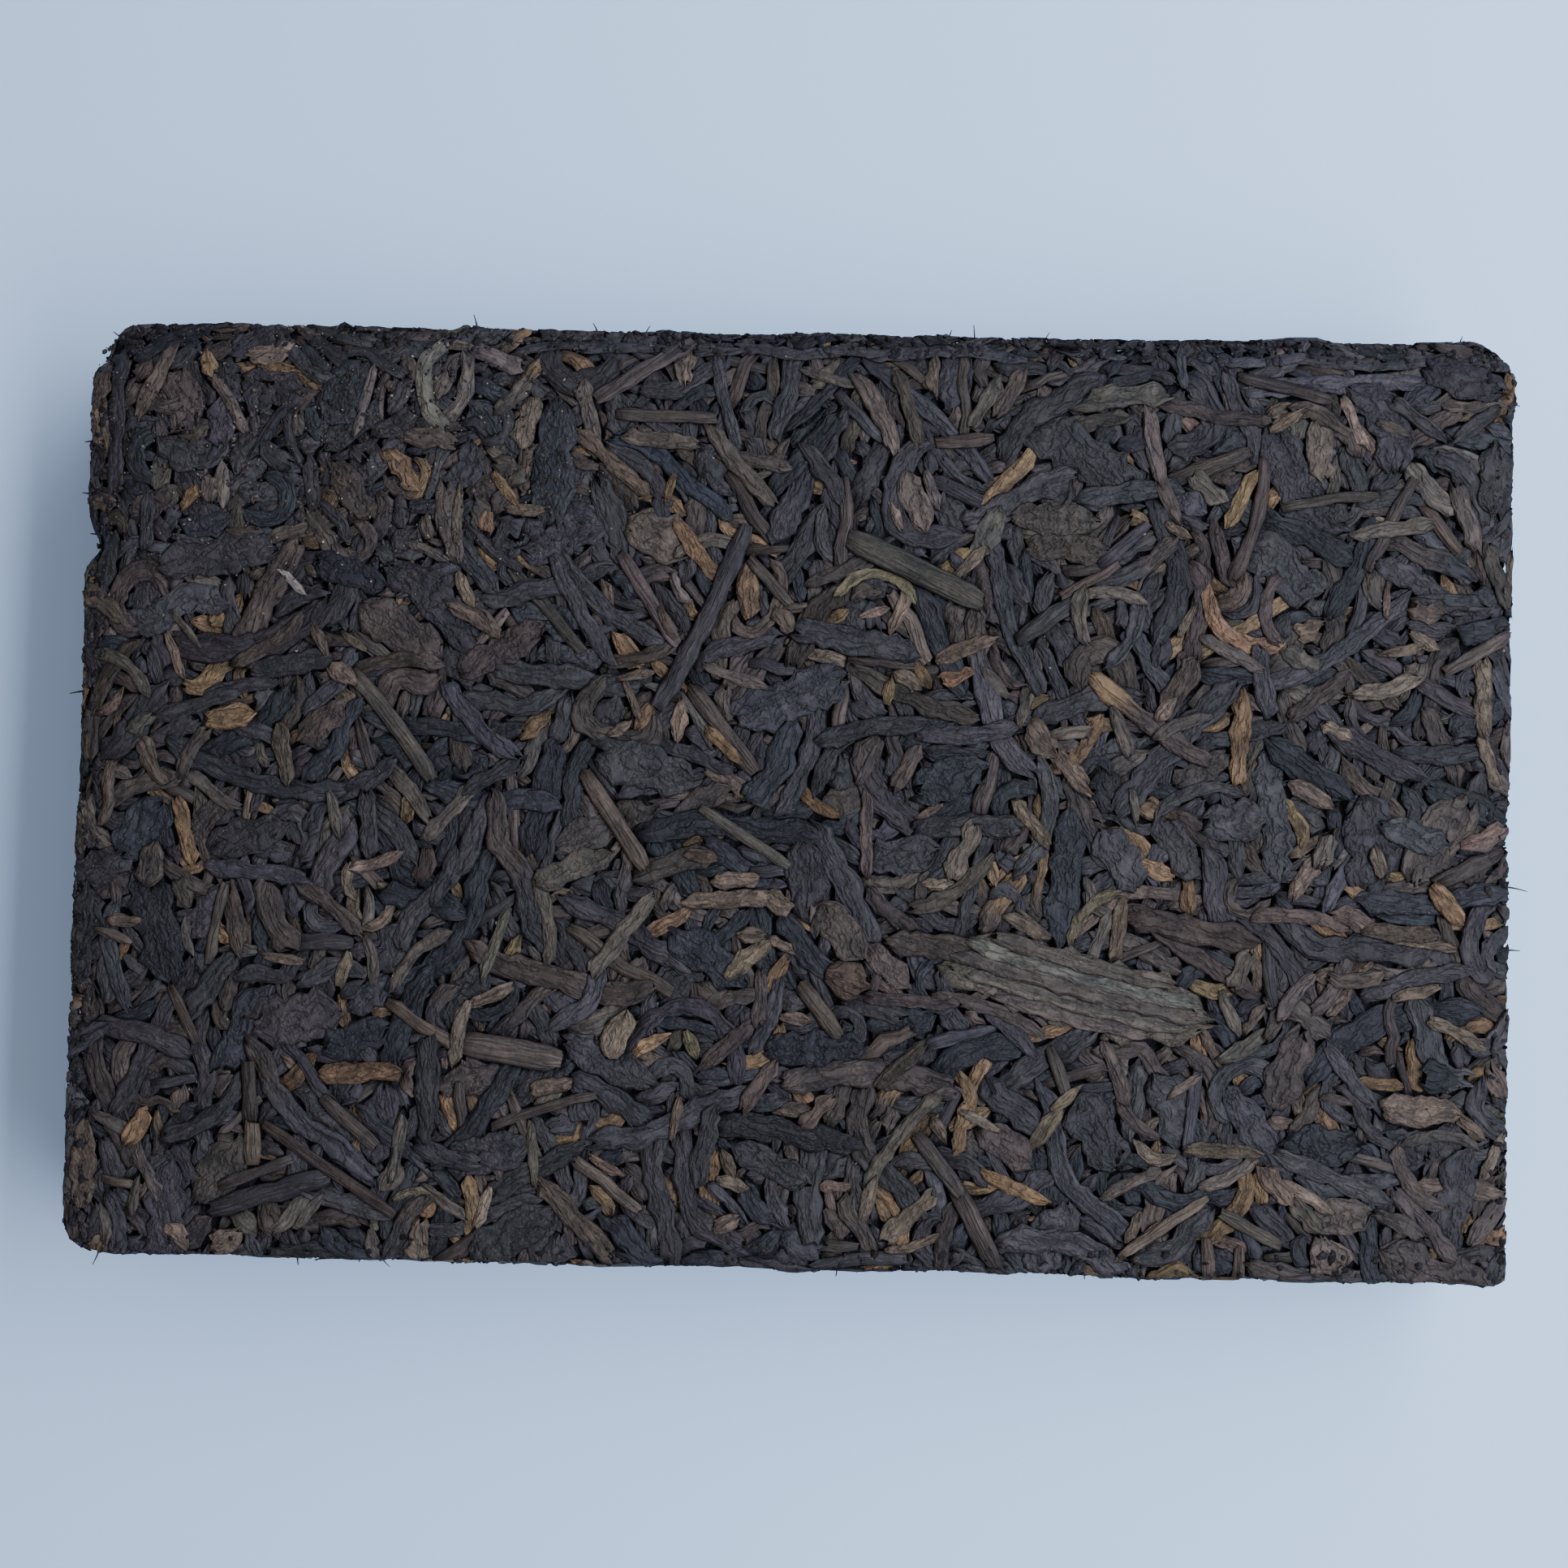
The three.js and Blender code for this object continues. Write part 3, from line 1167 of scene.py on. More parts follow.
        grain = np.stack(np.broadcast_arrays(start[0] + spots[:, None] * length, start[1] + spread), -1)
        extent = (length + 0.4, 1.7 * strand.width + 2 * thick)
        self.heap_for(strand).add(points, tints, faces, grain.reshape(-1, 2), patch, extent)

    def _unevenness(
        self, strand: Strand, places: tuple[np.ndarray, np.ndarray], thick: float
    ) -> tuple[np.ndarray, np.ndarray]:
        """Tears the two ends of a leaf and frays its rims.

        Args:
            strand: The leaf.
            places: Its places along and across the sheet.
            thick: Its thickness.

        Returns:
            How far each place moves along and across the sheet.
        """
        u, v = places
        middle = u.shape[1] // 2
        ahead = np.stack([np.gradient(g[:, middle]) for g in (u, v)])
        ahead /= np.maximum(np.hypot(*ahead), 1e-9)
        run = np.linspace(0, 1, len(u))
        tear = np.zeros_like(u)
        for near in (run, 1 - run):
            jag = eased(self.rng.normal(0, 1, u.shape[1]), 1) * strand.kind.value.tear * strand.width
            tear += jag * np.clip(1 - near / 0.18, 0, 1)[:, None]
        fray = 0.12 * thick * self.rng.normal(0, 1, u.shape)
        return ahead[0][:, None] * tear + fray, ahead[1][:, None] * tear - fray

    def heap_for(self, strand: Strand) -> Heap:
        """Picks the heap that a leaf goes to."""
        return self.heaps.get((strand.kind, strand.tone)) or self.heaps[strand.kind]

    def _tints(
        self,
        strand: Strand,
        spots: np.ndarray,
        ring: np.ndarray,
        level: np.ndarray,
        carved: np.ndarray,
        is_upper: np.ndarray,
    ) -> np.ndarray:
        """Colours a leaf: uneven along it, with painted shade that darkens its rims, its creases, its
        underside and its deeper places.

        Args:
            strand: The leaf.
            spots: Places along it, from 0 to 1.
            ring: Places across it, from -1 to 1.
            level: Depth of its middle at each point.
            carved: Depth of its creases at each point.
            is_upper: Which points of a ring lie on its outer side.

        Returns:
            The colour at each point.
        """
        base = np.array(strand.tone.value)
        hue = 1 + self.rng.normal(0, 0.03, 3)
        colour = np.ones((len(spots), len(ring), 1)) * base * hue * math.exp(self.rng.normal(0, 0.17))
        if strand.end_tone:
            share = np.clip((spots - self.rng.uniform(0.2, 0.7)) / 0.25, 0, 1)[:, None, None]
            colour = colour * (1 - share) + np.array(strand.end_tone.value) * share
        light = 1 + 0.16 * self.wave(spots, 1.6)[:, None] + 0.10 * self.rng.normal(0, 1, (1, len(ring)))
        # Painted shade: the rims, the creases, the underside (0.4) and the places that lie deeper under the
        # skin are darkened like ambient occlusion, and SHADE_HUE turns this painted shade bluish.
        rim = 1 - 0.42 * np.abs(ring) ** 8
        crease_shade = 1 - 0.38 * np.clip(carved / 0.2, 0, 1)
        deep = np.clip((level - 0.15) / 1.1, 0, 1)
        shade = np.where(is_upper, rim, 0.4) * crease_shade * (1 - 0.42 * deep)
        return np.clip(colour * (light * shade)[..., None] ** self.SHADE_HUE, 0.004, 0.6)


# ---------------------------------------------------------------- leaves that stand out
# Each has its tone, width, place of its middle, heading there, length and whole turn (left is
# positive), in millimetres and degrees. The outermost of each part of the face comes first.

BACK_LEFT = (
    strip(DUSTY, 1.8, (-39, 42), 94, 11, -100),
    strip(DUSTY, 1.5, (-34.5, 41.5), 76, 8.5, 85),
    strip(TAN, 1.4, (-36.5, 46.5), 5, 5, -50),
    strip(DUSTY, 2.0, (-31.5, 45), -25, 7, -15),
    flake(TAN, 1.8, (-37, 42), 70, 3),
    strip(RUST, 1.8, (-67, 42), 68, 8),
    flake(AMBER, 1.6, (-61.5, 44), 110, 3),
    flake(OCHRE, 2.4, (-55.5, 45), 10, 4),
    strip(OCHRE, 0.9, (-73, 46), 50, 3, -40),
    flake(RUST, 2.5, (-73.5, 42), 85, 5),
    flake(OCHRE, 2.2, (-73, 37.5), 100, 5),
    flake(AMBER, 2.2, (-41, 33), -50, 5),
    flake(OCHRE, 2.4, (-28, 38), 80, 5),
    strip(AMBER, 1.2, (-30, 31), -50, 4),
    strip(OCHRE, 1.3, (-28, 29), 0, 4),
    strip(OCHRE, 1.0, (-35, 28.5), 85, 6),
    strip(TAN, 1.0, (-38, 24.5), -25, 5),
    strip(OCHRE, 1.6, (-33.5, 18), -30, 5, -30),
    tip(OCHRE, 1.4, (-34, 20.5), -65, 4),
    tip(OCHRE, 1.5, (-31.5, 17), -50, 4),
    strip(PALE, 0.8, (-52, 21), -45, 4),
    strip(OCHRE, 0.9, (-45.5, 15), -35, 3),
    strip(OCHRE, 1.3, (-49, 15), -65, 3),
    flake(OCHRE, 1.8, (-46.5, 11.5), -35, 3),
    tip(AMBER, 2.4, (-58, 7), 10, 5),
    tip(OCHRE, 1.9, (-52.5, 3), -80, 6.5),
    strip(OCHRE, 1.2, (-70.5, 8), 45, 4, 60),
    strip(TAN, 1.4, (-69, 12), -38, 8, -70),
    strip(OCHRE, 1.0, (-64, 13), -68, 5),
    flake(TAN, 1.8, (-67.5, 6), 35, 3),
    flake(RUST, 2.0, (-66, 2), -60, 5),
    flake(OCHRE, 2.0, (-72.5, 29), 0, 3),
    flake(RUST, 2.2, (-72, 18.5), -35, 5),
    strip(TAN, 0.8, (-63, 16), -50, 5),
    strip(TAN, 1.2, (-59.5, 31), -88, 5),
    strip(TAN, 1.3, (-59, 39.5), -60, 7),
    strip(DUSTY, 1.0, (-45, 40), 75, 8),
    stem(TAN, 1.8, (-41, 6.5), -52, 14, -12),
    strip(UMBER, 1.5, (-42, 13), 10, 7, -25),
    strip(UMBER, 2.2, (-36, 27.5), -80, 8, 20),
    strip(CHARCOAL, 2.2, (-33.5, 23.5), -50, 8),
    strip(CHARCOAL, 1.8, (-71, 38), 90, 16),
    strip(CHARCOAL, 1.6, (-62, 8), 20, 9),
    strip(CHARCOAL, 1.5, (-57, 10), 12, 8),
    strip(CHARCOAL, 1.6, (-55, 5.5), -20, 6, -60),
    strip(UMBER, 1.6, (-62, 3.5), 60, 6, -40),
    strip(UMBER, 1.6, (-54, 14.5), 35, 9, 30),
    strip(CHARCOAL, 2.2, (-52, 12.5), 10, 9),
    strip(CHARCOAL, 2.0, (-32.5, 6.5), -45, 11, 35),
    strip(CHARCOAL, 1.8, (-30.5, 1.5), 30, 7),
    broad(UMBER, 4.4, (-40.5, 16), -32, 10),
    broad(INK, 4.2, (-25, 34), 88, 13),
    broad(INK, 4.5, (-47, 41), 60, 7),
    broad(UMBER, 3.2, (-30, 14.5), 30, 10),
    broad(UMBER, 3.0, (-48.5, 6.5), 40, 6),
    broad(UMBER, 3.0, (-46, 30.5), -55, 7),
    broad(CHARCOAL, 4.0, (-60, 23.5), 10, 12),
    broad(INK, 3.0, (-46, 22), -20, 8),
)
BACK_MIDDLE = (
    stem(CHARCOAL, 2.0, (-9, 18), 65, 21, 10),
    stem(UMBER, 2.7, (12.5, 23.5), -25, 15),
    stem(TAN, 1.8, (-16, 44), 35, 12),
    stem(UMBER, 1.4, (-13.5, 39), -1, 10.5),
    flake(OCHRE, 2.0, (-11.5, 44.5), 85, 3.5),
    strip(AMBER, 1.6, (-9.8, 24.5), -52, 9, 20),
    strip(TAN, 1.4, (-9.5, 26), 15, 7, -70),
    strip(OCHRE, 1.7, (-19, 34), -42, 10),
    strip(TAN, 1.8, (-21.5, 38.5), -78, 8),
    strip(TAN, 1.8, (-6, 34), -50, 11, 18),
    strip(TAN, 1.5, (-4, 34.5), -10, 8),
    strip(TAN, 1.6, (-14, 36.5), -5, 8),
    strip(AMBER, 0.9, (-13, 31.5), 75, 3),
    strip(RUST, 1.2, (-13, 17.5), -60, 4),
    stem(UMBER, 1.6, (-15, 20), -57, 11),
    stem(UMBER, 1.3, (-2.5, 22), -47, 6.5),
    strip(TAN, 1.0, (-12, 21), -60, 4, 60),
    strip(OCHRE, 1.2, (-16, 12), 10, 4),
    strip(OCHRE, 0.8, (-16.5, 9.5), -65, 5),
    tip(AMBER, 1.3, (-15, 8), 60, 3.5),
    tip(OCHRE, 1.1, (-17.5, 6.5), 35, 3),
    flake(OCHRE, 1.6, (-11.5, 7.5), 85, 4),
    strip(AMBER, 1.4, (-7, 5), -42, 5),
    stem(UMBER, 1.8, (-7, 6.5), -52, 11),
    strip(OLIVE, 1.2, (8.5, 23), 0, 10, -130),
    strip(OCHRE, 1.4, (11, 19), -110, 5, -20),
    strip(OCHRE, 0.9, (8.5, 19), 20, 3),
    flake(OCHRE, 1.5, (12, 12), -35, 3),
    tip(AMBER, 1.2, (10, 11), 80, 3),
    strip(OCHRE, 1.7, (18, 15.5), 22, 6.5),
    flake(AMBER, 1.5, (17, 12.5), 20, 3.5),
    strip(TAN, 1.2, (21, 12), -50, 4),
    strip(TAN, 2.0, (8.5, 40), -62, 9, -25),
    strip(TAN, 1.5, (11.5, 40.5), -72, 8),
    flake(OCHRE, 1.6, (14, 44), 88, 4),
    stem(RUST, 1.5, (17.5, 37), 5, 6),
    strip(TAN, 1.6, (19.5, 41), 60, 6),
    strip(RUST, 1.8, (22, 42), 62, 6),
    strip(TAN, 1.1, (14, 32), -70, 4.5),
    strip(OCHRE, 1.0, (10.5, 29), -68, 3),
    strip(OCHRE, 1.3, (18, 24), 50, 5),
    strip(TAN, 1.1, (3, 43.5), -18, 6),
    flake(OCHRE, 1.8, (-1, 18), -55, 3),
    strip(UMBER, 1.3, (4.5, 23), 25, 7, 20),
    strip(TAN, 1.2, (-6, 12), -18, 7, 15),
    flake(OCHRE, 2.4, (26, 6), -50, 4),
    strip(TAN, 1.6, (12, 3), 58, 5.5),
    strip(TAN, 1.1, (8, 3), 65, 4.5),
    strip(CHARCOAL, 1.3, (-7.5, 40.5), -75, 11, 12),
    strip(CHARCOAL, 1.8, (-22, 18.5), -60, 13, 10),
    strip(UMBER, 1.5, (-15, 14), 20, 9, 50),
    strip(CHARCOAL, 2.8, (6.5, 16), -10, 13),
    strip(CHARCOAL, 2.0, (8, 7), 12, 11, -25),
    strip(CHARCOAL, 2.0, (18, 6.5), 5, 10, 20),
    strip(CHARCOAL, 1.8, (4, 4), 60, 8, -60),
    strip(CHARCOAL, 1.8, (3, 33.5), -55, 7, -20),
    broad(RUST, 5.0, (-14, 26.5), -20, 7),
    broad(RUST, 2.8, (12.5, 30.5), -72, 6.5),
    broad(TAN, 2.4, (20, 27.5), 70, 6),
    broad(CHARCOAL, 4.5, (0, 10), 22, 12),
    broad(CHARCOAL, 4.5, (-15, 2.5), -15, 10),
    broad(INK, 4.0, (16.5, 2), 20, 8),
)
BACK_RIGHT = (
    strip(TAN, 2.4, (34, 42), 5, 9, -15),
    strip(UMBER, 1.6, (43, 40), -10, 12, 25),
    strip(TAN, 1.7, (37, 36.5), -80, 8),
    strip(UMBER, 1.4, (38.5, 31.5), -68, 6),
    tip(OCHRE, 1.2, (39.5, 28), -30, 3),
    strip(AMBER, 1.5, (46, 31.5), 65, 6.5, -10),
    stem(UMBER, 1.5, (47.5, 29), 75, 13, 30),
    flake(TAN, 2.0, (42.5, 32.5), -40, 4),
    stem(UMBER, 1.1, (55, 31.5), 8, 10, -15),
    strip(TAN, 1.7, (61.5, 28.5), 10, 8),
    strip(TAN, 2.0, (69, 30), -72, 7),
    strip(OCHRE, 1.2, (57.5, 39.5), -65, 6),
    strip(OCHRE, 1.3, (50.5, 39.5), 32, 4),
    strip(TAN, 1.2, (61.5, 39), -20, 3.5),
    strip(TAN, 1.6, (29.5, 19), 95, 6, -50),
    strip(TAN, 1.3, (33, 21.5), -5, 7, -50),
    strip(OCHRE, 1.0, (40.5, 18.5), 65, 3.5),
    strip(TAN, 1.4, (45, 15.5), -28, 7),
    tip(OCHRE, 1.5, (38.5, 9.5), 50, 3),
    strip(RUST, 2.4, (40, 12), 62, 7),
    strip(TAN, 1.3, (40, 8), 22, 6, -25),
    strip(OCHRE, 1.9, (28, 4), -48, 9),
    strip(TAN, 1.3, (29, 7), 10, 4),
    strip(TAN, 1.6, (34, 7), -68, 5),
    strip(OCHRE, 1.8, (61, 12), 15, 7, 20),
    flake(TAN, 2.6, (63.5, 13), 60, 3.5),
    strip(OCHRE, 1.1, (62.5, 16), 10, 5),
    tip(OCHRE, 1.4, (65, 17), -30, 3.5),
    stem(RUST, 1.4, (70.5, 16), 30, 8.5),
    strip(OCHRE, 1.9, (71, 11.5), -88, 8, -5),
    strip(OCHRE, 1.4, (71.5, 5), -72, 6, 20),
    flake(TAN, 1.8, (73, 2.5), -30, 3),
    flake(RUST, 2.2, (65, 20), -10, 3.2),
    strip(OCHRE, 0.9, (61, 21), 88, 3.5),
    flake(OCHRE, 2.0, (53, 18), 20, 3),
    flake(TAN, 2.0, (52.5, 15), -30, 4),
    flake(OCHRE, 1.6, (56, 7.5), -28, 3.2),
    tip(OCHRE, 2.0, (53.5, 1), -28, 5),
    stem(CHARCOAL, 1.3, (34, 26.5), 42, 6.5),
    strip(UMBER, 1.4, (48.5, 20), -90, 8, 100),
    strip(UMBER, 1.7, (54, 11), 38, 8),
    strip(CHARCOAL, 1.6, (35, 17), -115, 8, -70),
    strip(CHARCOAL, 1.6, (64, 40), -38, 7),
    strip(CHARCOAL, 1.6, (70, 39.5), 38, 6),
    strip(CHARCOAL, 1.8, (67.5, 21), -3, 7),
    strip(UMBER, 1.8, (72.5, 23.5), -68, 8, 10),
    strip(UMBER, 1.6, (44, 25.5), -75, 7, 15),
    strip(CHARCOAL, 2.5, (60, 5), -28, 10, 10),
    strip(INK, 3.0, (53, 3.5), -35, 10),
    strip(CHARCOAL, 2.0, (48.5, 12.5), -80, 8),
    broad(RUST, 2.8, (54, 36.5), -80, 6),
    broad(CHARCOAL, 2.4, (64, 23), -30, 9),
    broad(CHARCOAL, 3.5, (72, 34), 90, 7),
    broad(CHARCOAL, 4.0, (69, 44.5), -20, 8),
    broad(UMBER, 3.0, (27, 29), -3, 9),
    broad(UMBER, 3.0, (28, 26), -3, 8),
)
FRONT_LEFT = (
    stem(RUST, 1.3, (-46.5, -39.5), -33, 16.5),
    stem(CHARCOAL, 2.1, (-52.5, -42), 17, 12.5),
    stem(UMBER, 1.3, (-54, -40), 22, 8),
    stem(OCHRE, 1.8, (-54.5, -37), -88, 4.5),
    stem(UMBER, 1.7, (-55, -32), -88, 7),
    tip(AMBER, 2.2, (-43.5, -29.5), 3, 8.5),
    strip(AMBER, 1.6, (-62.5, -5), -74, 7.5),
    tip(TAN, 2.8, (-66, -8.5), 75, 4.5),
    flake(TAN, 1.9, (-62.5, -11.5), -60, 3),
    flake(RUST, 1.3, (-68.5, -14.5), 5, 3.5),
    strip(RUST, 1.0, (-69.5, -16), -20, 4),
    strip(TAN, 1.2, (-42.5, -18), -80, 5, -35),
    stem(TAN, 1.2, (-59, -14.5), 80, 8.5, -8),
    strip(OCHRE, 1.2, (-52, -18), -8, 4.5),
    strip(TAN, 1.0, (-62, -16), -80, 4, 50),
    flake(OCHRE, 1.3, (-45.5, -19), 75, 3.5),
    strip(OCHRE, 1.2, (-42.5, -8), 20, 5.5, 30),
    strip(OCHRE, 1.2, (-45.5, -10), -80, 4, 80),
    strip(TAN, 1.1, (-43, -12.5), -92, 4, -60),
    strip(TAN, 1.5, (-38, -17), 45, 8, -55),
    strip(TAN, 1.1, (-30, -16), 70, 7.5),
    strip(OCHRE, 1.5, (-33.5, -25), 78, 7, -20),
    strip(OCHRE, 1.4, (-30.5, -21.5), 25, 5, 10),
    stem(RUST, 2.9, (-28, -27), -9, 10.5),
    stem(RUST, 1.1, (-62, -24), -63, 6.5),
    tip(AMBER, 2.0, (-66.5, -35.5), 60, 4.5),
    strip(TAN, 1.3, (-47, -3), -75, 5),
    strip(TAN, 1.6, (-34.5, -2), 48, 9),
    strip(TAN, 1.3, (-39.5, -37), 82, 7),
    strip(OCHRE, 1.0, (-38, -41.5), 10, 4, -70),
    strip(TAN, 1.2, (-34.5, -42.5), -35, 6),
    flake(OCHRE, 2.2, (-37, -46.5), 85, 4.5),
    flake(OCHRE, 2.6, (-57, -47), 30, 3.5),
    strip(TAN, 1.0, (-48.5, -44), 50, 4.5),
    strip(TAN, 1.1, (-66.5, -42.5), 80, 4, -20),
    strip(TAN, 1.1, (-69.5, -45.5), 100, 4, 30),
    strip(OCHRE, 1.2, (-30.5, -43), 70, 4),
    strip(TAN, 1.0, (-25.5, -37.5), -85, 7),
    flake(OCHRE, 1.8, (-62, -46.5), -50, 3),
    strip(CHARCOAL, 1.7, (-55, -9), -5, 11, -8),
    strip(UMBER, 1.7, (-47, -12.5), -38, 9, -15),
    strip(UMBER, 2.0, (-57, -14), -78, 7),
    strip(UMBER, 2.8, (-53, -14), -65, 8, 60),
    strip(CHARCOAL, 2.2, (-73, -27), 30, 7),
    strip(CHARCOAL, 2.2, (-66, -26), -15, 11, -35),
    strip(CHARCOAL, 2.0, (-43.5, -4), -85, 7),
    strip(CHARCOAL, 2.6, (-36.5, -31), -88, 10),
    strip(CHARCOAL, 2.0, (-34.5, -38), -15, 7, 30),
    strip(CHARCOAL, 2.0, (-44, -43), -15, 9),
    broad(RUST, 2.6, (-72, -39.5), 88, 9),
    broad(RUST, 2.0, (-74, -4.5), -75, 6),
    broad(INK, 4.5, (-67, -5), 50, 7),
    broad(INK, 4.5, (-65, -15), -75, 12),
    broad(CHARCOAL, 4.0, (-56, -5.5), 20, 8),
    broad(CHARCOAL, 4.0, (-30, -37.5), 12, 9),
    broad(INK, 3.5, (-44, -26), 20, 7),
    broad(CHARCOAL, 5.0, (-50, -24), 10, 9),
)
# The ribs of the large leaf torn along its fibres: tone, length and how far each is to its left.
TORN_LEAF = tuple(
    strip(tone, 1.7, (30 + 0.24 * left, -19.5 + 0.97 * left), -14, length, 6)
    for tone, length, left in (
        (TAN, 19, 2.8),
        (DUSTY, 24, 1.4),
        (TAN, 27, 0),
        (DUSTY, 22, -1.4),
        (TAN, 16, -2.8),
    )
)
FRONT_MIDDLE = (
    stem(RUST, 1.9, (-18, -3), -56, 11.5),
    broad(TAN, 2.8, (-22, -8), 22, 8.5),
    strip(TAN, 1.9, (-17, -15), 53, 10),
    flake(OCHRE, 1.6, (-5.5, -9), 4, 5),
    strip(OCHRE, 1.7, (-6, -11), 3, 9),
    flake(OCHRE, 2.2, (-1.5, -11), -8, 4.5),
    flake(OCHRE, 1.4, (-9, -6.5), -10, 3.5),
    stem(TAN, 1.2, (-4.5, -4.5), -32, 11),
    tip(OCHRE, 1.7, (-3.5, -14.5), 3, 3),
    flake(OCHRE, 1.8, (-4, -17), 40, 6),
    flake(OCHRE, 1.3, (-0.5, -15.5), -25, 3),
    tip(OCHRE, 3.0, (-17, -25), 70, 5),
    flake(OCHRE, 1.7, (-24, -30.5), 12, 4.5),
    tip(TAN, 1.0, (3, -13), 80, 3.5, -40),
    broad(RUST, 3.8, (5.5, -14), -50, 7),
    tip(OCHRE, 3.9, (6.5, -19), -15, 4.2),
    stem(RUST, 1.9, (3.5, -22), -52, 6.5),
    broad(RUST, 2.6, (10.5, -17.5), -40, 6),
    tip(OCHRE, 1.3, (1, -23), -5, 3.2),
    strip(TAN, 1.6, (17.5, -9.5), 35, 10, 50),
    flake(TAN, 2.2, (18, -5.5), 68, 6),
    flake(OCHRE, 1.3, (15.5, -9), 5, 3.2),
    tip(AMBER, 1.2, (21, -7.5), -78, 3),
    strip(OCHRE, 0.9, (14.5, -1.5), 30, 3),
    strip(OCHRE, 1.5, (25, -2.5), -50, 6),
    strip(OCHRE, 1.5, (24.5, -13), -25, 5),
    strip(UMBER, 2.6, (17, -15.5), -6, 14),
    broad(TAN, 7.4, (30, -19.5), -14, 27),
    strip(RUST, 1.8, (-2.5, -30), 58, 6),
    flake(RUST, 1.7, (3.5, -32.5), 45, 4),
    strip(OCHRE, 1.0, (-11, -33.5), 80, 4.5),
    strip(OCHRE, 1.3, (9, -41), 72, 4.5),
    strip(TAN, 1.5, (12, -34.5), 52, 12, -28),
    stem(UMBER, 1.7, (16, -37.5), -52, 8),
    stem(UMBER, 2.1, (20, -44), -62, 9),
    flake(OCHRE, 2.0, (13, -43), 42, 6.5),
    strip(OCHRE, 0.9, (13.5, -46), 18, 6, 40),
    tip(OCHRE, 1.2, (16, -34), -58, 3),
    strip(OCHRE, 1.1, (20, -33), -25, 4),
    tip(OCHRE, 1.5, (-5, -40), -15, 3.2),
    tip(OLIVE, 1.4, (-5.5, -38), -60, 3),
    tip(OCHRE, 1.7, (-5.5, -44), 30, 3),
    flake(OCHRE, 1.3, (5.5, -40), 10, 3),
    strip(OCHRE, 1.0, (-18, -38.5), -30, 4),
    tip(OLIVE, 1.6, (-9.5, -26), -65, 3),
    strip(TAN, 1.4, (-24.5, -13.5), -80, 9, -40),
    strip(UMBER, 1.5, (-2.5, -21), -92, 6, -20),
    strip(UMBER, 1.8, (-6, -26), -137, 8, 5),
    strip(CHARCOAL, 1.6, (-1.5, -23), -110, 8, -30),
    strip(UMBER, 1.4, (8, -4), -90, 9),
    strip(UMBER, 1.8, (10.5, -12), -40, 7, 40),
    strip(UMBER, 1.3, (13, -21), -3, 10),
    strip(UMBER, 1.4, (21, -21.5), -18, 12, -30),
    strip(CHARCOAL, 1.5, (23.5, -24), -42, 8, -20),
    strip(UMBER, 1.6, (12, -27.5), 42, 7),
    strip(RUST, 2.2, (-21, -44), -45, 11),
    strip(CHARCOAL, 2.0, (-8, -36), 80, 8, -20),
    strip(UMBER, 2.4, (-12, -7.5), 20, 8),
    broad(UMBER, 3.5, (23, -35.5), -35, 6),
    broad(CHARCOAL, 3.4, (-18, -28), -25, 10),
    broad(INK, 3.4, (3, -26), 5, 10),
    broad(CHARCOAL, 3.0, (-1, -38), -25, 9),
    broad(CHARCOAL, 4.0, (2, -9), -80, 8),
    broad(INK, 4.0, (-8, -17), -35, 9),
    broad(CHARCOAL, 3.6, (12, -6), 10, 7),
)
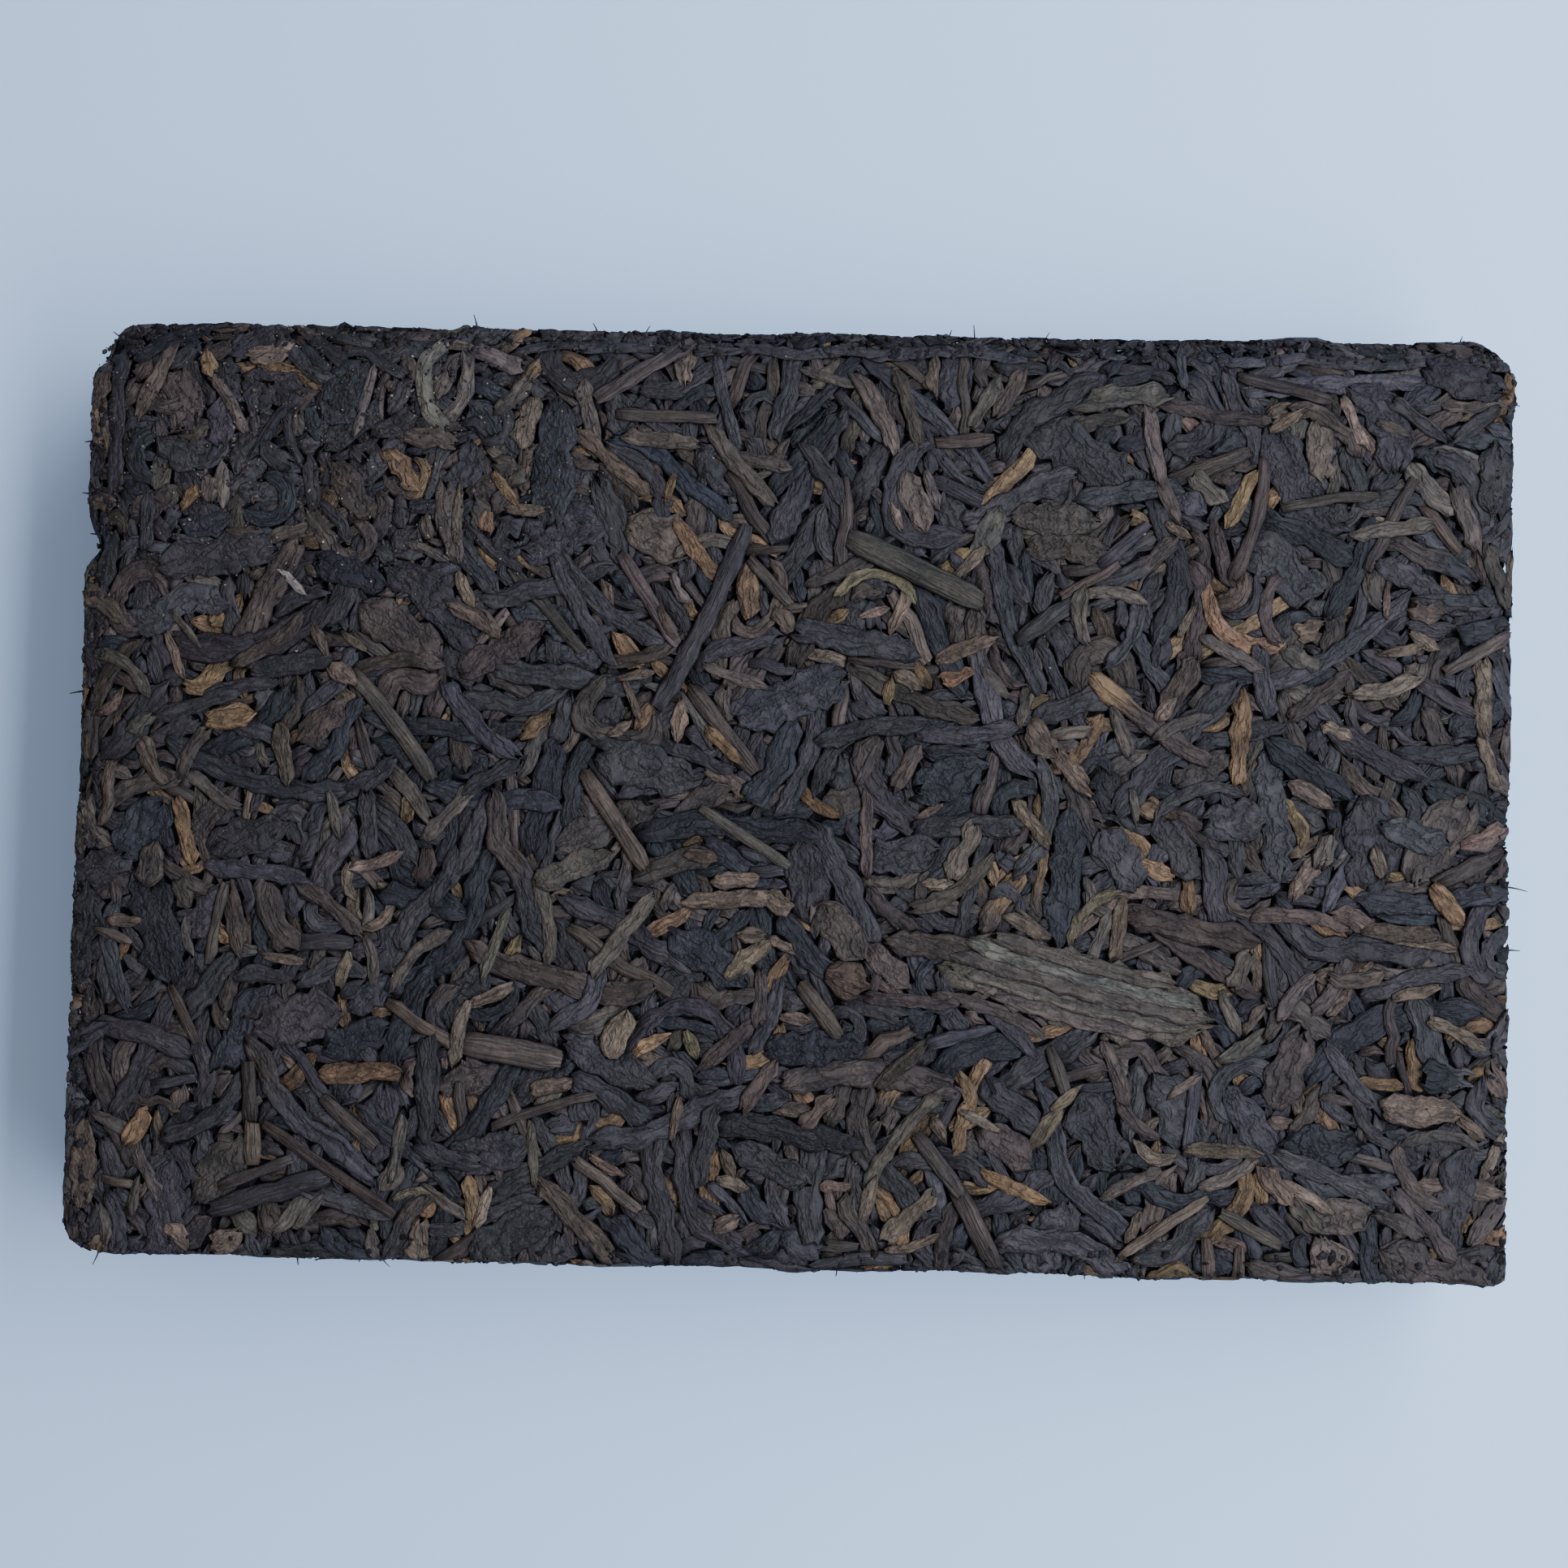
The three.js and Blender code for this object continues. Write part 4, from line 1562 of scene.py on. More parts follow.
FRONT_RIGHT = (
    strip(OCHRE, 1.3, (30.5, -11.5), 50, 7.5, -75),
    strip(OCHRE, 1.5, (34, -13.5), -97, 7),
    strip(TAN, 1.2, (32, -14.5), -112, 6),
    strip(OCHRE, 1.7, (63, -13), -2, 7.5),
    strip(OCHRE, 1.0, (65, -14), -8, 7),
    strip(RUST, 1.5, (52.5, -11.5), -5, 10, -25),
    tip(AMBER, 2.1, (67.5, -10), -52, 5),
    strip(TAN, 1.6, (52, -19.5), 52, 6, -25),
    strip(TAN, 1.7, (50, -22.5), 63, 4),
    strip(TAN, 1.6, (47, -25), 35, 6, 20),
    flake(TAN, 2.0, (46.5, -17), 62, 4),
    strip(TAN, 1.4, (45.5, -21.5), -65, 4.5),
    strip(OCHRE, 1.0, (43.5, -25), -62, 5),
    flake(RUST, 1.2, (48, -22), 52, 3.3),
    strip(RUST, 1.6, (58.5, -18), 5, 6, 60),
    strip(OCHRE, 1.3, (64.5, -19), 15, 5),
    strip(OCHRE, 1.5, (68.5, -23), -25, 6.5),
    flake(RUST, 2.4, (73, -28), -60, 3.5),
    flake(INK, 3.0, (66.5, -27.5), 0, 3.4),
    tip(OCHRE, 3.1, (65, -31), -3, 8),
    strip(OCHRE, 1.4, (70, -32.5), -42, 4),
    strip(OCHRE, 1.2, (72.5, -35.5), 65, 5),
    strip(TAN, 1.2, (67, -33.5), 0, 8, -60),
    strip(UMBER, 1.5, (64, -38.5), -52, 9, 80),
    strip(TAN, 1.0, (56.5, -30), -10, 3.5, -40),
    strip(OCHRE, 1.3, (38, -36.5), -15, 5, 110),
    strip(OCHRE, 1.5, (45, -35.5), -3, 8, -15),
    strip(TAN, 1.4, (35.5, -39), 28, 7, -15),
    strip(TAN, 1.4, (46, -38), 30, 7, 40),
    flake(OCHRE, 2.0, (50.5, -39), -52, 5),
    strip(OCHRE, 1.3, (53.5, -40), -32, 6),
    flake(TAN, 2.0, (53.5, -42), -50, 4),
    stem(OCHRE, 1.2, (39, -43.5), 34, 11),
    strip(OCHRE, 0.9, (36.5, -45), 42, 6),
    tip(OCHRE, 1.3, (36, -43.5), 68, 3.5),
    stem(TAN, 1.4, (48, -43.5), -28, 7),
    strip(TAN, 1.7, (63, -42.5), -25, 6, -20),
    strip(TAN, 1.9, (72, -42), 52, 6),
    strip(OLIVE, 1.2, (29, -30.5), 38, 3.5),
    strip(OLIVE, 1.5, (27, -33.5), 52, 5),
    strip(UMBER, 1.5, (34, -28), -68, 7),
    strip(UMBER, 1.4, (36, -33), -40, 6, 50),
    strip(RUST, 1.0, (41, -29), 35, 4),
    strip(TAN, 2.3, (55, -4.5), 72, 4),
    strip(OCHRE, 1.8, (53, -7.5), 55, 5),
    tip(OCHRE, 1.6, (60.5, -6), -75, 3.5),
    strip(TAN, 1.0, (35.5, -0.5), -80, 3.5),
    flake(OCHRE, 2.2, (71.5, -3), 20, 4.5),
    strip(TAN, 1.2, (25, -13), -45, 4),
    strip(UMBER, 2.8, (41, -13), -12, 14),
    strip(UMBER, 1.8, (43, -16.5), -32, 12),
    strip(CHARCOAL, 1.7, (64.5, -17.5), 14, 12, -30),
    strip(CHARCOAL, 1.6, (57.5, -27.5), -52, 7, 15),
    strip(CHARCOAL, 1.9, (56, -38), -22, 12),
    strip(UMBER, 1.9, (65.5, -42.5), -48, 9),
    broad(UMBER, 4.2, (51.5, -27), 70, 8),
    broad(RUST, 3.5, (57, -42), 15, 6),
    broad(RUST, 4.0, (56, -46), -70, 4),
    broad(INK, 3.4, (28.5, -8), 86, 14),
    broad(CHARCOAL, 3.8, (34, -6), -60, 7),
    broad(CHARCOAL, 4.0, (45.5, -2), 5, 6),
    broad(INK, 4.2, (55, -35), 5, 8),
    broad(CHARCOAL, 4.4, (32, -34), -60, 8),
    broad(CHARCOAL, 3.0, (64, -3), -15, 7),
)
LEADING_LEAVES = (
    TORN_LEAF + BACK_LEFT + BACK_MIDDLE + BACK_RIGHT + FRONT_LEFT + FRONT_MIDDLE + FRONT_RIGHT
)

# Stretches of the back edge with leaves folded along it: lean, start and stop.
EDGE_RUNS = ((1, -30.0, 20.0), (-1, 44.0, 72.0))


# ---------------------------------------------------------------- the brick


@dataclass(frozen=True)
class Sort:
    """A sort of leaf that is strewn at random.

    Attributes:
        kind: What it is.
        tones: Its colours, each with how common it is.
        share: How common the sort is.
        lengths: Its least and greatest length in millimetres.
        widths: Its least and greatest width in millimetres.
        bend: How far it usually turns from end to end, in radians.
        curl: How often it is curled up tightly.
    """

    kind: Kind
    tones: dict[Tone, float]
    share: float
    lengths: tuple[float, float]
    widths: tuple[float, float]
    bend: float = 0.6
    curl: float = 0.06

    def grow(self, spot: np.ndarray, heading: float, rng: np.random.Generator) -> Strand:
        """Makes one leaf.

        Args:
            spot: A place that it covers.
            heading: The direction of its middle.
            rng: Source of the unevenness.

        Returns:
            The leaf.
        """
        width = rng.uniform(*self.widths)
        length = max(rng.uniform(*self.lengths), 1.1 * width)
        run = np.linspace(0, 1, max(13, int(length / Strand.STEP) + 1))
        turn = rng.normal(0, self.bend)
        if rng.random() < self.curl:
            turn = rng.choice([-1, 1]) * min(rng.uniform(2.2, 5.0), 0.75 * length / width)
        sway = rng.normal(0, 0.22) * np.sin(2 * math.pi * (rng.uniform(0.8, 2.0) * run + rng.random()))
        angle = heading + turn * (run - 0.5) + sway
        line = np.cumsum(np.stack([np.cos(angle), np.sin(angle)], -1), 0) * length / len(run)
        line += spot - line[int(rng.uniform(0.15, 0.85) * len(run))]
        tones = list(self.tones)
        odds = np.array([self.tones[t] for t in tones])
        tone = tones[rng.choice(len(tones), p=odds / odds.sum())]
        end_tone = None
        if self.kind is Kind.STRIP and tone in (CHARCOAL, UMBER) and rng.random() < 0.16:
            end_tone = UMBER if tone is CHARCOAL else AMBER
        return Strand(self.kind, tone, width, line, 0.02 + abs(rng.normal(0, 0.10)), end_tone)


DARK = {CHARCOAL: 0.66, INK: 0.17, UMBER: 0.17}
MIXED = {CHARCOAL: 0.50, INK: 0.11, UMBER: 0.19, TAN: 0.09, AMBER: 0.065, RUST: 0.03, OCHRE: 0.015}
GOLDEN = {AMBER: 0.68, OCHRE: 0.20, TAN: 0.12}

LARGE = (
    Sort(Kind.STRIP, DARK, 0.62, (9, 21), (1.7, 3.0), 0.7, 0.05),
    Sort(Kind.BROAD, {CHARCOAL: 0.6, INK: 0.2, UMBER: 0.2}, 0.14, (7, 14), (3.0, 5.0), 0.3, 0.0),
    Sort(Kind.STEM, {UMBER: 0.5, CHARCOAL: 0.4, RUST: 0.1}, 0.10, (6, 14), (1.1, 1.9), 0.10, 0.0),
    Sort(Kind.STRIP, MIXED, 0.14, (6, 12), (1.2, 2.2), 0.9, 0.15),
)
MIDDLING = (
    Sort(Kind.STRIP, MIXED, 0.70, (4.5, 13), (1.1, 2.4), 0.7, 0.10),
    Sort(Kind.BROAD, DARK, 0.13, (4, 9), (2.4, 4.2), 0.3, 0.0),
    Sort(Kind.STEM, {UMBER: 0.5, CHARCOAL: 0.35, RUST: 0.15}, 0.05, (4, 9), (0.9, 1.5), 0.10, 0.0),
    Sort(Kind.TIP, GOLDEN, 0.04, (3, 7), (1.2, 2.1), 0.5, 0.0),
    Sort(Kind.FLAKE, MIXED, 0.08, (2, 4.5), (1.2, 2.4), 0.3, 0.0),
)
SMALL = (
    Sort(Kind.STRIP, MIXED, 0.60, (2.5, 6.5), (0.8, 1.6), 0.7, 0.06),
    Sort(Kind.FLAKE, MIXED, 0.40, (1.4, 3.4), (0.9, 1.9), 0.3, 0.0),
)
CRUSTED = (
    Sort(Kind.BROAD, {CHARCOAL: 0.5, INK: 0.2, UMBER: 0.3}, 0.30, (3.5, 8.0), (2.2, 4.0), 0.3, 0.0),
    Sort(
        Kind.STRIP, {CHARCOAL: 0.55, INK: 0.15, UMBER: 0.22, TAN: 0.08},
        0.42, (3.5, 10.0), (1.0, 2.1), 0.7, 0.25,
    ),
    Sort(
        Kind.FLAKE, {CHARCOAL: 0.45, UMBER: 0.35, TAN: 0.15, AMBER: 0.05},
        0.28, (1.6, 3.6), (1.1, 2.4), 0.3,
    ),
)
# Small crumbs in dark tones that paint the shade of the sloping band along the back edge.
CRUMBS_IN_PAINTED_SHADE = (
    Sort(Kind.STRIP, {CHARCOAL: 0.4, SHADE_BLUE_BLACK: 0.35, INK: 0.25}, 0.45, (2.0, 6.0), (0.8, 1.5), 0.5, 0.0),
    Sort(
        Kind.FLAKE, {CHARCOAL: 0.4, SHADE_BLUE_BLACK: 0.35, INK: 0.2, UMBER: 0.05},
        0.55, (1.2, 2.8), (0.8, 1.7), 0.3, 0.0,
    ),
)
LAYERED = (
    Sort(
        Kind.STRIP, {CHARCOAL: 0.58, INK: 0.12, UMBER: 0.2, TAN: 0.06, AMBER: 0.04},
        0.66, (3, 14), (0.6, 1.7), 0.35,
    ),
    Sort(Kind.BROAD, {CHARCOAL: 0.6, INK: 0.2, UMBER: 0.2}, 0.09, (3, 7), (1.5, 2.8), 0.2, 0.0),
    Sort(Kind.STEM, {UMBER: 0.6, RUST: 0.15, CHARCOAL: 0.25}, 0.07, (2, 6), (0.8, 1.3), 0.08, 0.0),
    Sort(Kind.FLAKE, {CHARCOAL: 0.6, SHADE_BLUE_BLACK: 0.1, UMBER: 0.3}, 0.18, (1.2, 3.0), (0.7, 1.7), 0.3, 0.0),
)


class Crumbs:
    """Grains of leaf dust that lie on the leaves and fill the gaps between them."""

    def __init__(self, heap: Heap, rng: np.random.Generator) -> None:
        """Takes the heap that the grains go to, and shapes one grain."""
        self.heap = heap
        self.rng = rng
        bpy.ops.object.select_all(action="DESELECT")
        bpy.ops.mesh.primitive_ico_sphere_add(subdivisions=1, radius=1.0)
        ball = bpy.context.active_object
        self.corners = np.array([v.co for v in ball.data.vertices])
        self.faces = np.array([p.vertices[:] for p in ball.data.polygons])
        bpy.data.objects.remove(ball)
        cell = np.stack([np.arange(20) % 5 / 5, np.arange(20) // 5 / 4], -1)
        triangle = np.array([[0.02, 0.03], [0.18, 0.03], [0.10, 0.22]])
        self.patch = cell[:, None, :] + triangle[None]

    def strew(
        self,
        sheet: Sheet,
        spots: np.ndarray,
        sizes: tuple[float, float],
        tones: dict[Tone, float],
        stand: float,
    ) -> None:
        """Strews grains on a sheet.

        Args:
            sheet: The sheet.
            spots: Their places on it.
            sizes: Their least and greatest size in millimetres.
            tones: Their colours, each with how common it is.
            stand: How far they stand out, as a share of their size.
        """
        names = list(tones)
        odds = np.array([tones[t] for t in names])
        picks = self.rng.choice(len(names), len(spots), p=odds / odds.sum())
        low, high = sizes
        for (u, v), pick in zip(spots, picks):
            size = low + (high - low) * self.rng.random() ** 2
            axes = size / 2 * self.rng.uniform((0.8, 0.55, 0.35), (1.5, 1.0, 0.7))
            angle = self.rng.uniform(0, 2 * math.pi)
            shape = self.corners * (1 + self.rng.normal(0, 0.16, (12, 1))) * axes
            turn = np.array([[math.cos(angle), -math.sin(angle)], [math.sin(angle), math.cos(angle)]])
            flat = shape[:, :2] @ turn.T
            cell = sheet.cover.cell(np.array([u]), np.array([v]))
            depth = float(sheet.cover.surface[cell][0]) - (stand - 0.5) * size
            points = sheet.place(u + flat[:, 0], v + flat[:, 1], depth - shape[:, 2])
            base = np.array(names[pick].value) * math.exp(self.rng.normal(0, 0.3))
            tints = np.clip(base * (1 + 0.15 * self.rng.normal(0, 1, (12, 1))), 0.004, 0.6)
            grain = self.corners[:, :2] * size + self.rng.uniform(0, 40, 2)
            faces = self.faces if sheet.outward > 0 else self.faces[:, ::-1]
            self.heap.add(points, tints, [faces], grain, [self.patch], (2.6 * size, 2.1 * size))


class TeaBrick:
    """The whole brick: a crumbly core, the leaves pressed onto it, and the dust between them."""

    CORNERS = (1.5, 4.5, 5.5, 4.5)  # radii, from the front right corner round the back
    CORE_VOXEL = 0.85
    CORE_GRAIN = 0.22
    CORE_ON_WALL = 0.55  # share of the wall leaves' depth at which the core starts
    CORE_AT_MOST = 1.1  # how deep it starts there at most
    BACK_SLOPE = 3.2  # width of the crumbled band along the back edge
    CRUMBLED_RUN = (-9.0, 63.0)  # where that band is bare of whole leaves, and its dark crumbs paint shade
    FIBRES = (  # fibres that stand out far: place on the rim, and reach
        (-34.0, 49.2, 1.0),
        (18.5, 49.2, 0.8),
        (-74.7, 9.5, 1.3),
        (74.7, -8.0, 1.9),
        (74.7, -14.5, 0.7),
        (-70.5, -49.2, 1.0),
        (-74.7, 36.0, 0.6),
    )
    ON_FOLD = 1.0  # how much of the fold over the rim belongs to a broad face
    CRUST = ((-72.0, 26.0), (-29.0, 46.0))  # where the face is crushed to a grey crust

    def __init__(self, node: bpy.types.Object) -> None:
        """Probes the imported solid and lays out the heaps."""
        self.node = node
        self.rng = np.random.default_rng(250)
        probe = Probe(node)
        self.half = (probe.high - probe.low)[:2] / 2
        self.wall = Wall(probe, Outline(self.half[0] - 0.35, self.half[1] - 0.35, self.CORNERS), self.rng)
        self.face = Face(probe, self.wall, 1)
        self.underside = Face(probe, self.wall, -1)
        for sheet in (self.wall, self.face, self.underside):
            sheet.cover.bare &= sheet.on(*sheet.cover.centres(), self.ON_FOLD)
        self.heaps: list[Heap] = []

    def heap(self, name: str, finish: Finish, slot: str) -> Heap:
        """Starts a heap of leaves."""
        made = Heap(name, finish, slot)
        self.heaps.append(made)
        return made

    def fill(
        self,
        press: Press,
        sorts: tuple[Sort, ...],
        needed: float,
        until: float,
        heading: Heading,
        least: int = 7,
        tries: int = 12000,
        where: tuple[tuple[float, float], tuple[float, float]] | None = None,
    ) -> None:
        """Strews leaves over a sheet until little of it is bare.

        Args:
            press: Lays the leaves.
            sorts: What is strewn.
            needed: The least share of a leaf that has to show.
            until: The share of the sheet that may stay bare.
            heading: Chooses each leaf's direction.
            least: How many of the cells round a seed are bare.
            tries: The most leaves that are tried.
            where: The corners of the stretch that is filled, or None for all of it.
        """
        cover = press.sheet.cover
        odds = np.array([s.share for s in sorts])
        odds /= odds.sum()
        laid = tried = 0
        whole = cover.bare.size
        while tried < tries:
            holes = cover.holes(least)
            if where:
                u, v = self._centres(cover, holes)
                (u0, v0), (u1, v1) = where
                holes = holes[(u > u0) & (u < u1) & (v > v0) & (v < v1)]
            if len(holes) <= until * whole:
                break
            picks = self.rng.choice(holes, 160)
            for pick, which in zip(picks, self.rng.choice(len(sorts), 160, p=odds)):
                tried += 1
                if not cover.bare.flat[pick]:
                    continue
                spot = np.array(self._centres(cover, pick))
                strand = sorts[which].grow(spot, heading(spot), self.rng)
                laid += press.lay(strand, needed)
        log.info("laid %d of %d leaves tried, %.1f%% bare", laid, tried, 100 * cover.bare.mean())

    @staticmethod
    def _centres(cover: Cover, cells: np.ndarray) -> tuple[np.ndarray, np.ndarray]:
        """Places of some cells, given by their flat index."""
        i, j = np.divmod(cells, cover.shape[1])
        return cover.low[0] + i * cover.PITCH, cover.low[1] + j * cover.PITCH

    def lay_face(self) -> None:
        """Lays the upper face: the leaves that stand out first, then all that lies between them."""
        dark = self.heap("dark_twisted_leaves", DRY_LEAF, "pressed_leaf")
        lower = self.heap("dark_leaves_between", DRY_LEAF, "pressed_leaf")
        brown = self.heap("brown_twisted_leaves", BROWN_LEAF, "pressed_leaf")
        golden = self.heap("golden_tips", GOLDEN_LEAF, "golden_tip")
        open_leaves = self.heap("open_leaves", BROAD_LEAF, "pressed_leaf")
        stalks = self.heap("stalks", STALK, "tea_stem")
        flakes = self.heap("broken_leaf", BROWN_LEAF, "pressed_leaf")
        heaps = {
            Kind.STRIP: brown,
            (Kind.STRIP, CHARCOAL): dark,
            (Kind.STRIP, INK): dark,
            (Kind.STRIP, AMBER): golden,
            (Kind.STRIP, OCHRE): golden,
            (Kind.FLAKE, AMBER): golden,
            (Kind.FLAKE, OCHRE): golden,
            Kind.TIP: golden,
            Kind.BROAD: open_leaves,
            Kind.STEM: stalks,
            Kind.FLAKE: flakes,
        }
        press = Press(self.face, heaps, self.rng, 1.0)
        for strand in LEADING_LEAVES:
            press.lay(strand, 0.0)
        for sign, start, stop in EDGE_RUNS:
            self._lay_edge(press, sign, start, stop)
        start, stop = self.CRUMBLED_RUN
        # The back band gets only dark crumbs, as painted shade of its slope.
        band = ((start, self.half[1] - self.BACK_SLOPE), (stop, self.half[1] + 1.0))
        self.fill(press, CRUMBS_IN_PAINTED_SHADE, 0.35, 0.0, self.any_way, where=band, tries=420)
        self.fill(press, CRUSTED, 0.50, 0.0, self.any_way, where=self.CRUST, tries=320)
        self.fill(press, LARGE, 0.62, 0.12, self.any_way, tries=900)
        self.fill(press, MIDDLING, 0.42, 0.06, self.any_way, tries=3500)
        heaps[(Kind.STRIP, CHARCOAL)] = heaps[(Kind.STRIP, INK)] = lower
        finer = Press(self.face, heaps, self.rng, 0.85)
        self.fill(finer, MIDDLING, 0.26, 0.02, self.any_way, tries=4000)
        self.fill(finer, MIDDLING, 0.12, 0.006, self.any_way, least=6, tries=3500)
        self.fill(finer, SMALL, 0.10, 0.0, self.any_way, least=4, tries=4500)

    def _lay_edge(self, press: Press, sign: int, start: float, stop: float) -> None:
        """Lays long thin leaves that the press has folded along the back edge."""
        y = self.half[1] - self.BACK_SLOPE
        for x in np.arange(start, stop, 7.5):
            lean = self.rng.uniform(-0.6, 0.6)
            bends = np.array([[x, y + lean], [x + 4, y + sign * 0.3], [x + 9, y - lean]])
            press.lay(Strand(Kind.STRIP, CHARCOAL, self.rng.uniform(1.1, 1.7), bends, 0.05), 0.3)

    def any_way(self, spot: np.ndarray) -> float:
        """Chooses a direction on a broad face: any, but often along the worn edges beside them."""
        _, gap, out = self.wall.outline.nearest(spot[0], spot[1])
        worn = 0.6 if out[1] > 0.7 else 0.35 if out[0] < -0.7 else 0.0
        if gap > -self.BACK_SLOPE and self.rng.random() < worn:
            return math.atan2(out[1], out[0]) + math.pi / 2 + self.rng.normal(0, 0.35)
        return self.rng.uniform(0, math.pi)

    def level_way(self, spot: np.ndarray) -> float:
        """Chooses a direction on a wall, where the layers lie level."""
        spread = self.rng.choice([0.22, 0.8], p=[0.75, 0.25])
        return self.rng.normal(0, spread) + self.rng.choice([0, math.pi])

    def lay_underside(self) -> None:
        """Lays the face that the brick rests on."""
        leaves = self.heap("underside_leaves", DRY_LEAF, "pressed_leaf")
        golden = self.heap("underside_tips", GOLDEN_LEAF, "golden_tip")
        heaps = {kind: leaves for kind in Kind}
        heaps |= {(k, t): golden for k in (Kind.STRIP, Kind.FLAKE, Kind.TIP) for t in (AMBER, OCHRE, TAN)}
        press = Press(self.underside, heaps, self.rng, 0.72)
        self.fill(press, LARGE, 0.60, 0.12, self.any_way, tries=800)
        self.fill(press, MIDDLING, 0.36, 0.03, self.any_way, tries=4500)
        self.fill(press, SMALL, 0.28, 0.008, self.any_way, tries=2500)

    def lay_walls(self) -> None:
        """Lays the four walls, where the leaves show as level layers."""
        for face in (self.face, self.underside):
            face.hand_over()
        leaves = self.heap("wall_leaves", DRY_LEAF, "pressed_leaf")
        golden = self.heap("wall_tips", GOLDEN_LEAF, "golden_tip")
        heaps = {kind: leaves for kind in Kind}
        heaps |= {(k, t): golden for k in (Kind.STRIP, Kind.FLAKE, Kind.TIP) for t in (AMBER, OCHRE, TAN)}
        press = Press(self.wall, heaps, self.rng, 0.78)
        self.fill(press, LAYERED, 0.40, 0.05, self.level_way, tries=5000)
        self.fill(press, LAYERED[:1] + SMALL, 0.20, 0.004, self.level_way, least=5, tries=5000)

    def _crusted(self, spots: np.ndarray) -> np.ndarray:
        """Says how much of the grey crust lies at some places, from 0 to 1."""
        low, high = np.array(self.CRUST)
        off = np.maximum(np.maximum(low - spots, spots - high), 0)
        return np.exp(-((np.hypot(*off.T) / 5.0) ** 2))

    def strew_dust(self) -> None:
        """Strews dust and grains: thick on the crust and the crumbled edges, thin elsewhere; the dark dust on
        the rims and in the gaps is partly painted shade.
        """
        rng = self.rng
        dust = Crumbs(self.heap("leaf_crumbs", LEAF_DUST, "pressed_leaf"), rng)
        specks = Crumbs(self.heap("pale_specks", LEAF_DUST, "golden_tip"), rng)
        size = self.half - 1
        corner = rng.uniform((-size[0], 12.0), (-15.0, size[1]), (3600, 2))
        crust = corner[rng.random(3600) < self._crusted(corner)]
        dust.strew(self.face, crust, (0.25, 0.85), {CHARCOAL: 0.45, UMBER: 0.3, TAN: 0.25}, 0.25)
        outline = self.wall.outline
        at, out = outline.at(rng.uniform(0, outline.length, 3000))
        rim = at - out * rng.uniform(-0.8, self.BACK_SLOPE, (3000, 1))
        # Dust on the back and the left rims, and on some others, takes dark tones: worn crumbs, and along the
        # back edge painted shade.
        worn = (at[:, 1] > 0.9 * self.half[1]) | (at[:, 0] < -0.95 * self.half[0]) | (rng.random(3000) < 0.25)
        worn_and_shade_tones = {CHARCOAL: 0.55, SHADE_BLUE_BLACK: 0.25, INK: 0.1, UMBER: 0.1}
        dust.strew(self.face, rim[worn], (0.35, 1.3), worn_and_shade_tones, 0.35)
        # Dark dust in the low places between the leaves: crumbs, and partly painted shade in the gaps.
        loose = rng.uniform(-size, size, (5000, 2))
        cell = self.face.cover.cell(loose[:, 0], loose[:, 1])
        low = self.face.cover.surface[cell] > 0.35
        dust.strew(self.face, loose[low][:1500], (0.3, 0.9), {CHARCOAL: 0.6, SHADE_BLUE_BLACK: 0.2, UMBER: 0.2}, 0.2)
        band = rng.uniform((0, 0.8), (outline.length, self.wall.top - 1.2), (4300, 2))
        dust.strew(self.wall, band, (0.3, 1.0), {CHARCOAL: 0.6, UMBER: 0.25, TAN: 0.15}, 0.3)
        grains = corner[:1300]
        grains = grains[rng.random(len(grains)) < self._crusted(grains)]
        specks.strew(self.face, grains, (0.16, 0.42), {PALE: 0.6, TAN: 0.4}, 0.5)
        specks.strew(self.face, rng.uniform(-size, size, (300, 2)), (0.14, 0.34), {PALE: 0.5, TAN: 0.5}, 0.5)

    def lay_fibres(self) -> None:
        """Lets a few thin fibres stick out of the rim."""
        fibres = self.heap("stray_fibres", STALK, "tea_stem")
        outline = self.wall.outline
        known = np.array(self.FIBRES)
        spots = np.concatenate([outline.nearest(*known[:, :2].T)[0], self.rng.uniform(0, outline.length, 16)])
        reaches = np.concatenate([known[:, 2], self.rng.uniform(0.0, 0.4, 16)])
        rows, around = 6, 5
        turn = 2 * math.pi * np.arange(around) / around
        for s, reach in zip(spots, reaches):
            at, out = (a[0] for a in outline.at(np.array([s])))
            ahead = np.array([*out, 0.0])
            aside = np.array([-out[1], out[0], 0.0])
            run = np.linspace(-0.9, reach, rows)[:, None]
            height = self.face.level(at[0] - out[0], at[1] - out[1]) - self.rng.uniform(0.6, 2.0)
            lean = self.rng.normal(0, 0.45) * aside + np.array([0, 0, self.rng.normal(0, 0.25)])
            middle = np.array([*at, height]) + run * ahead + 0.5 * (run + 0.9) ** 1.5 * lean
            girth = np.linspace(self.rng.uniform(0.10, 0.15), 0.05, rows)[:, None, None]
            across = np.cos(turn)[:, None] * aside + np.sin(turn)[:, None] * np.cross(aside, ahead)
            points = (middle[:, None] + girth * across).reshape(-1, 3)
            tints = np.array(self.rng.choice([UMBER, CHARCOAL, INK]).value) * np.ones((rows * around, 1))
            faces, patch = tube(rows, around)
            fibres.add(points, tints, faces, points[:, :2], patch, (reach + 1.2, 1.0))

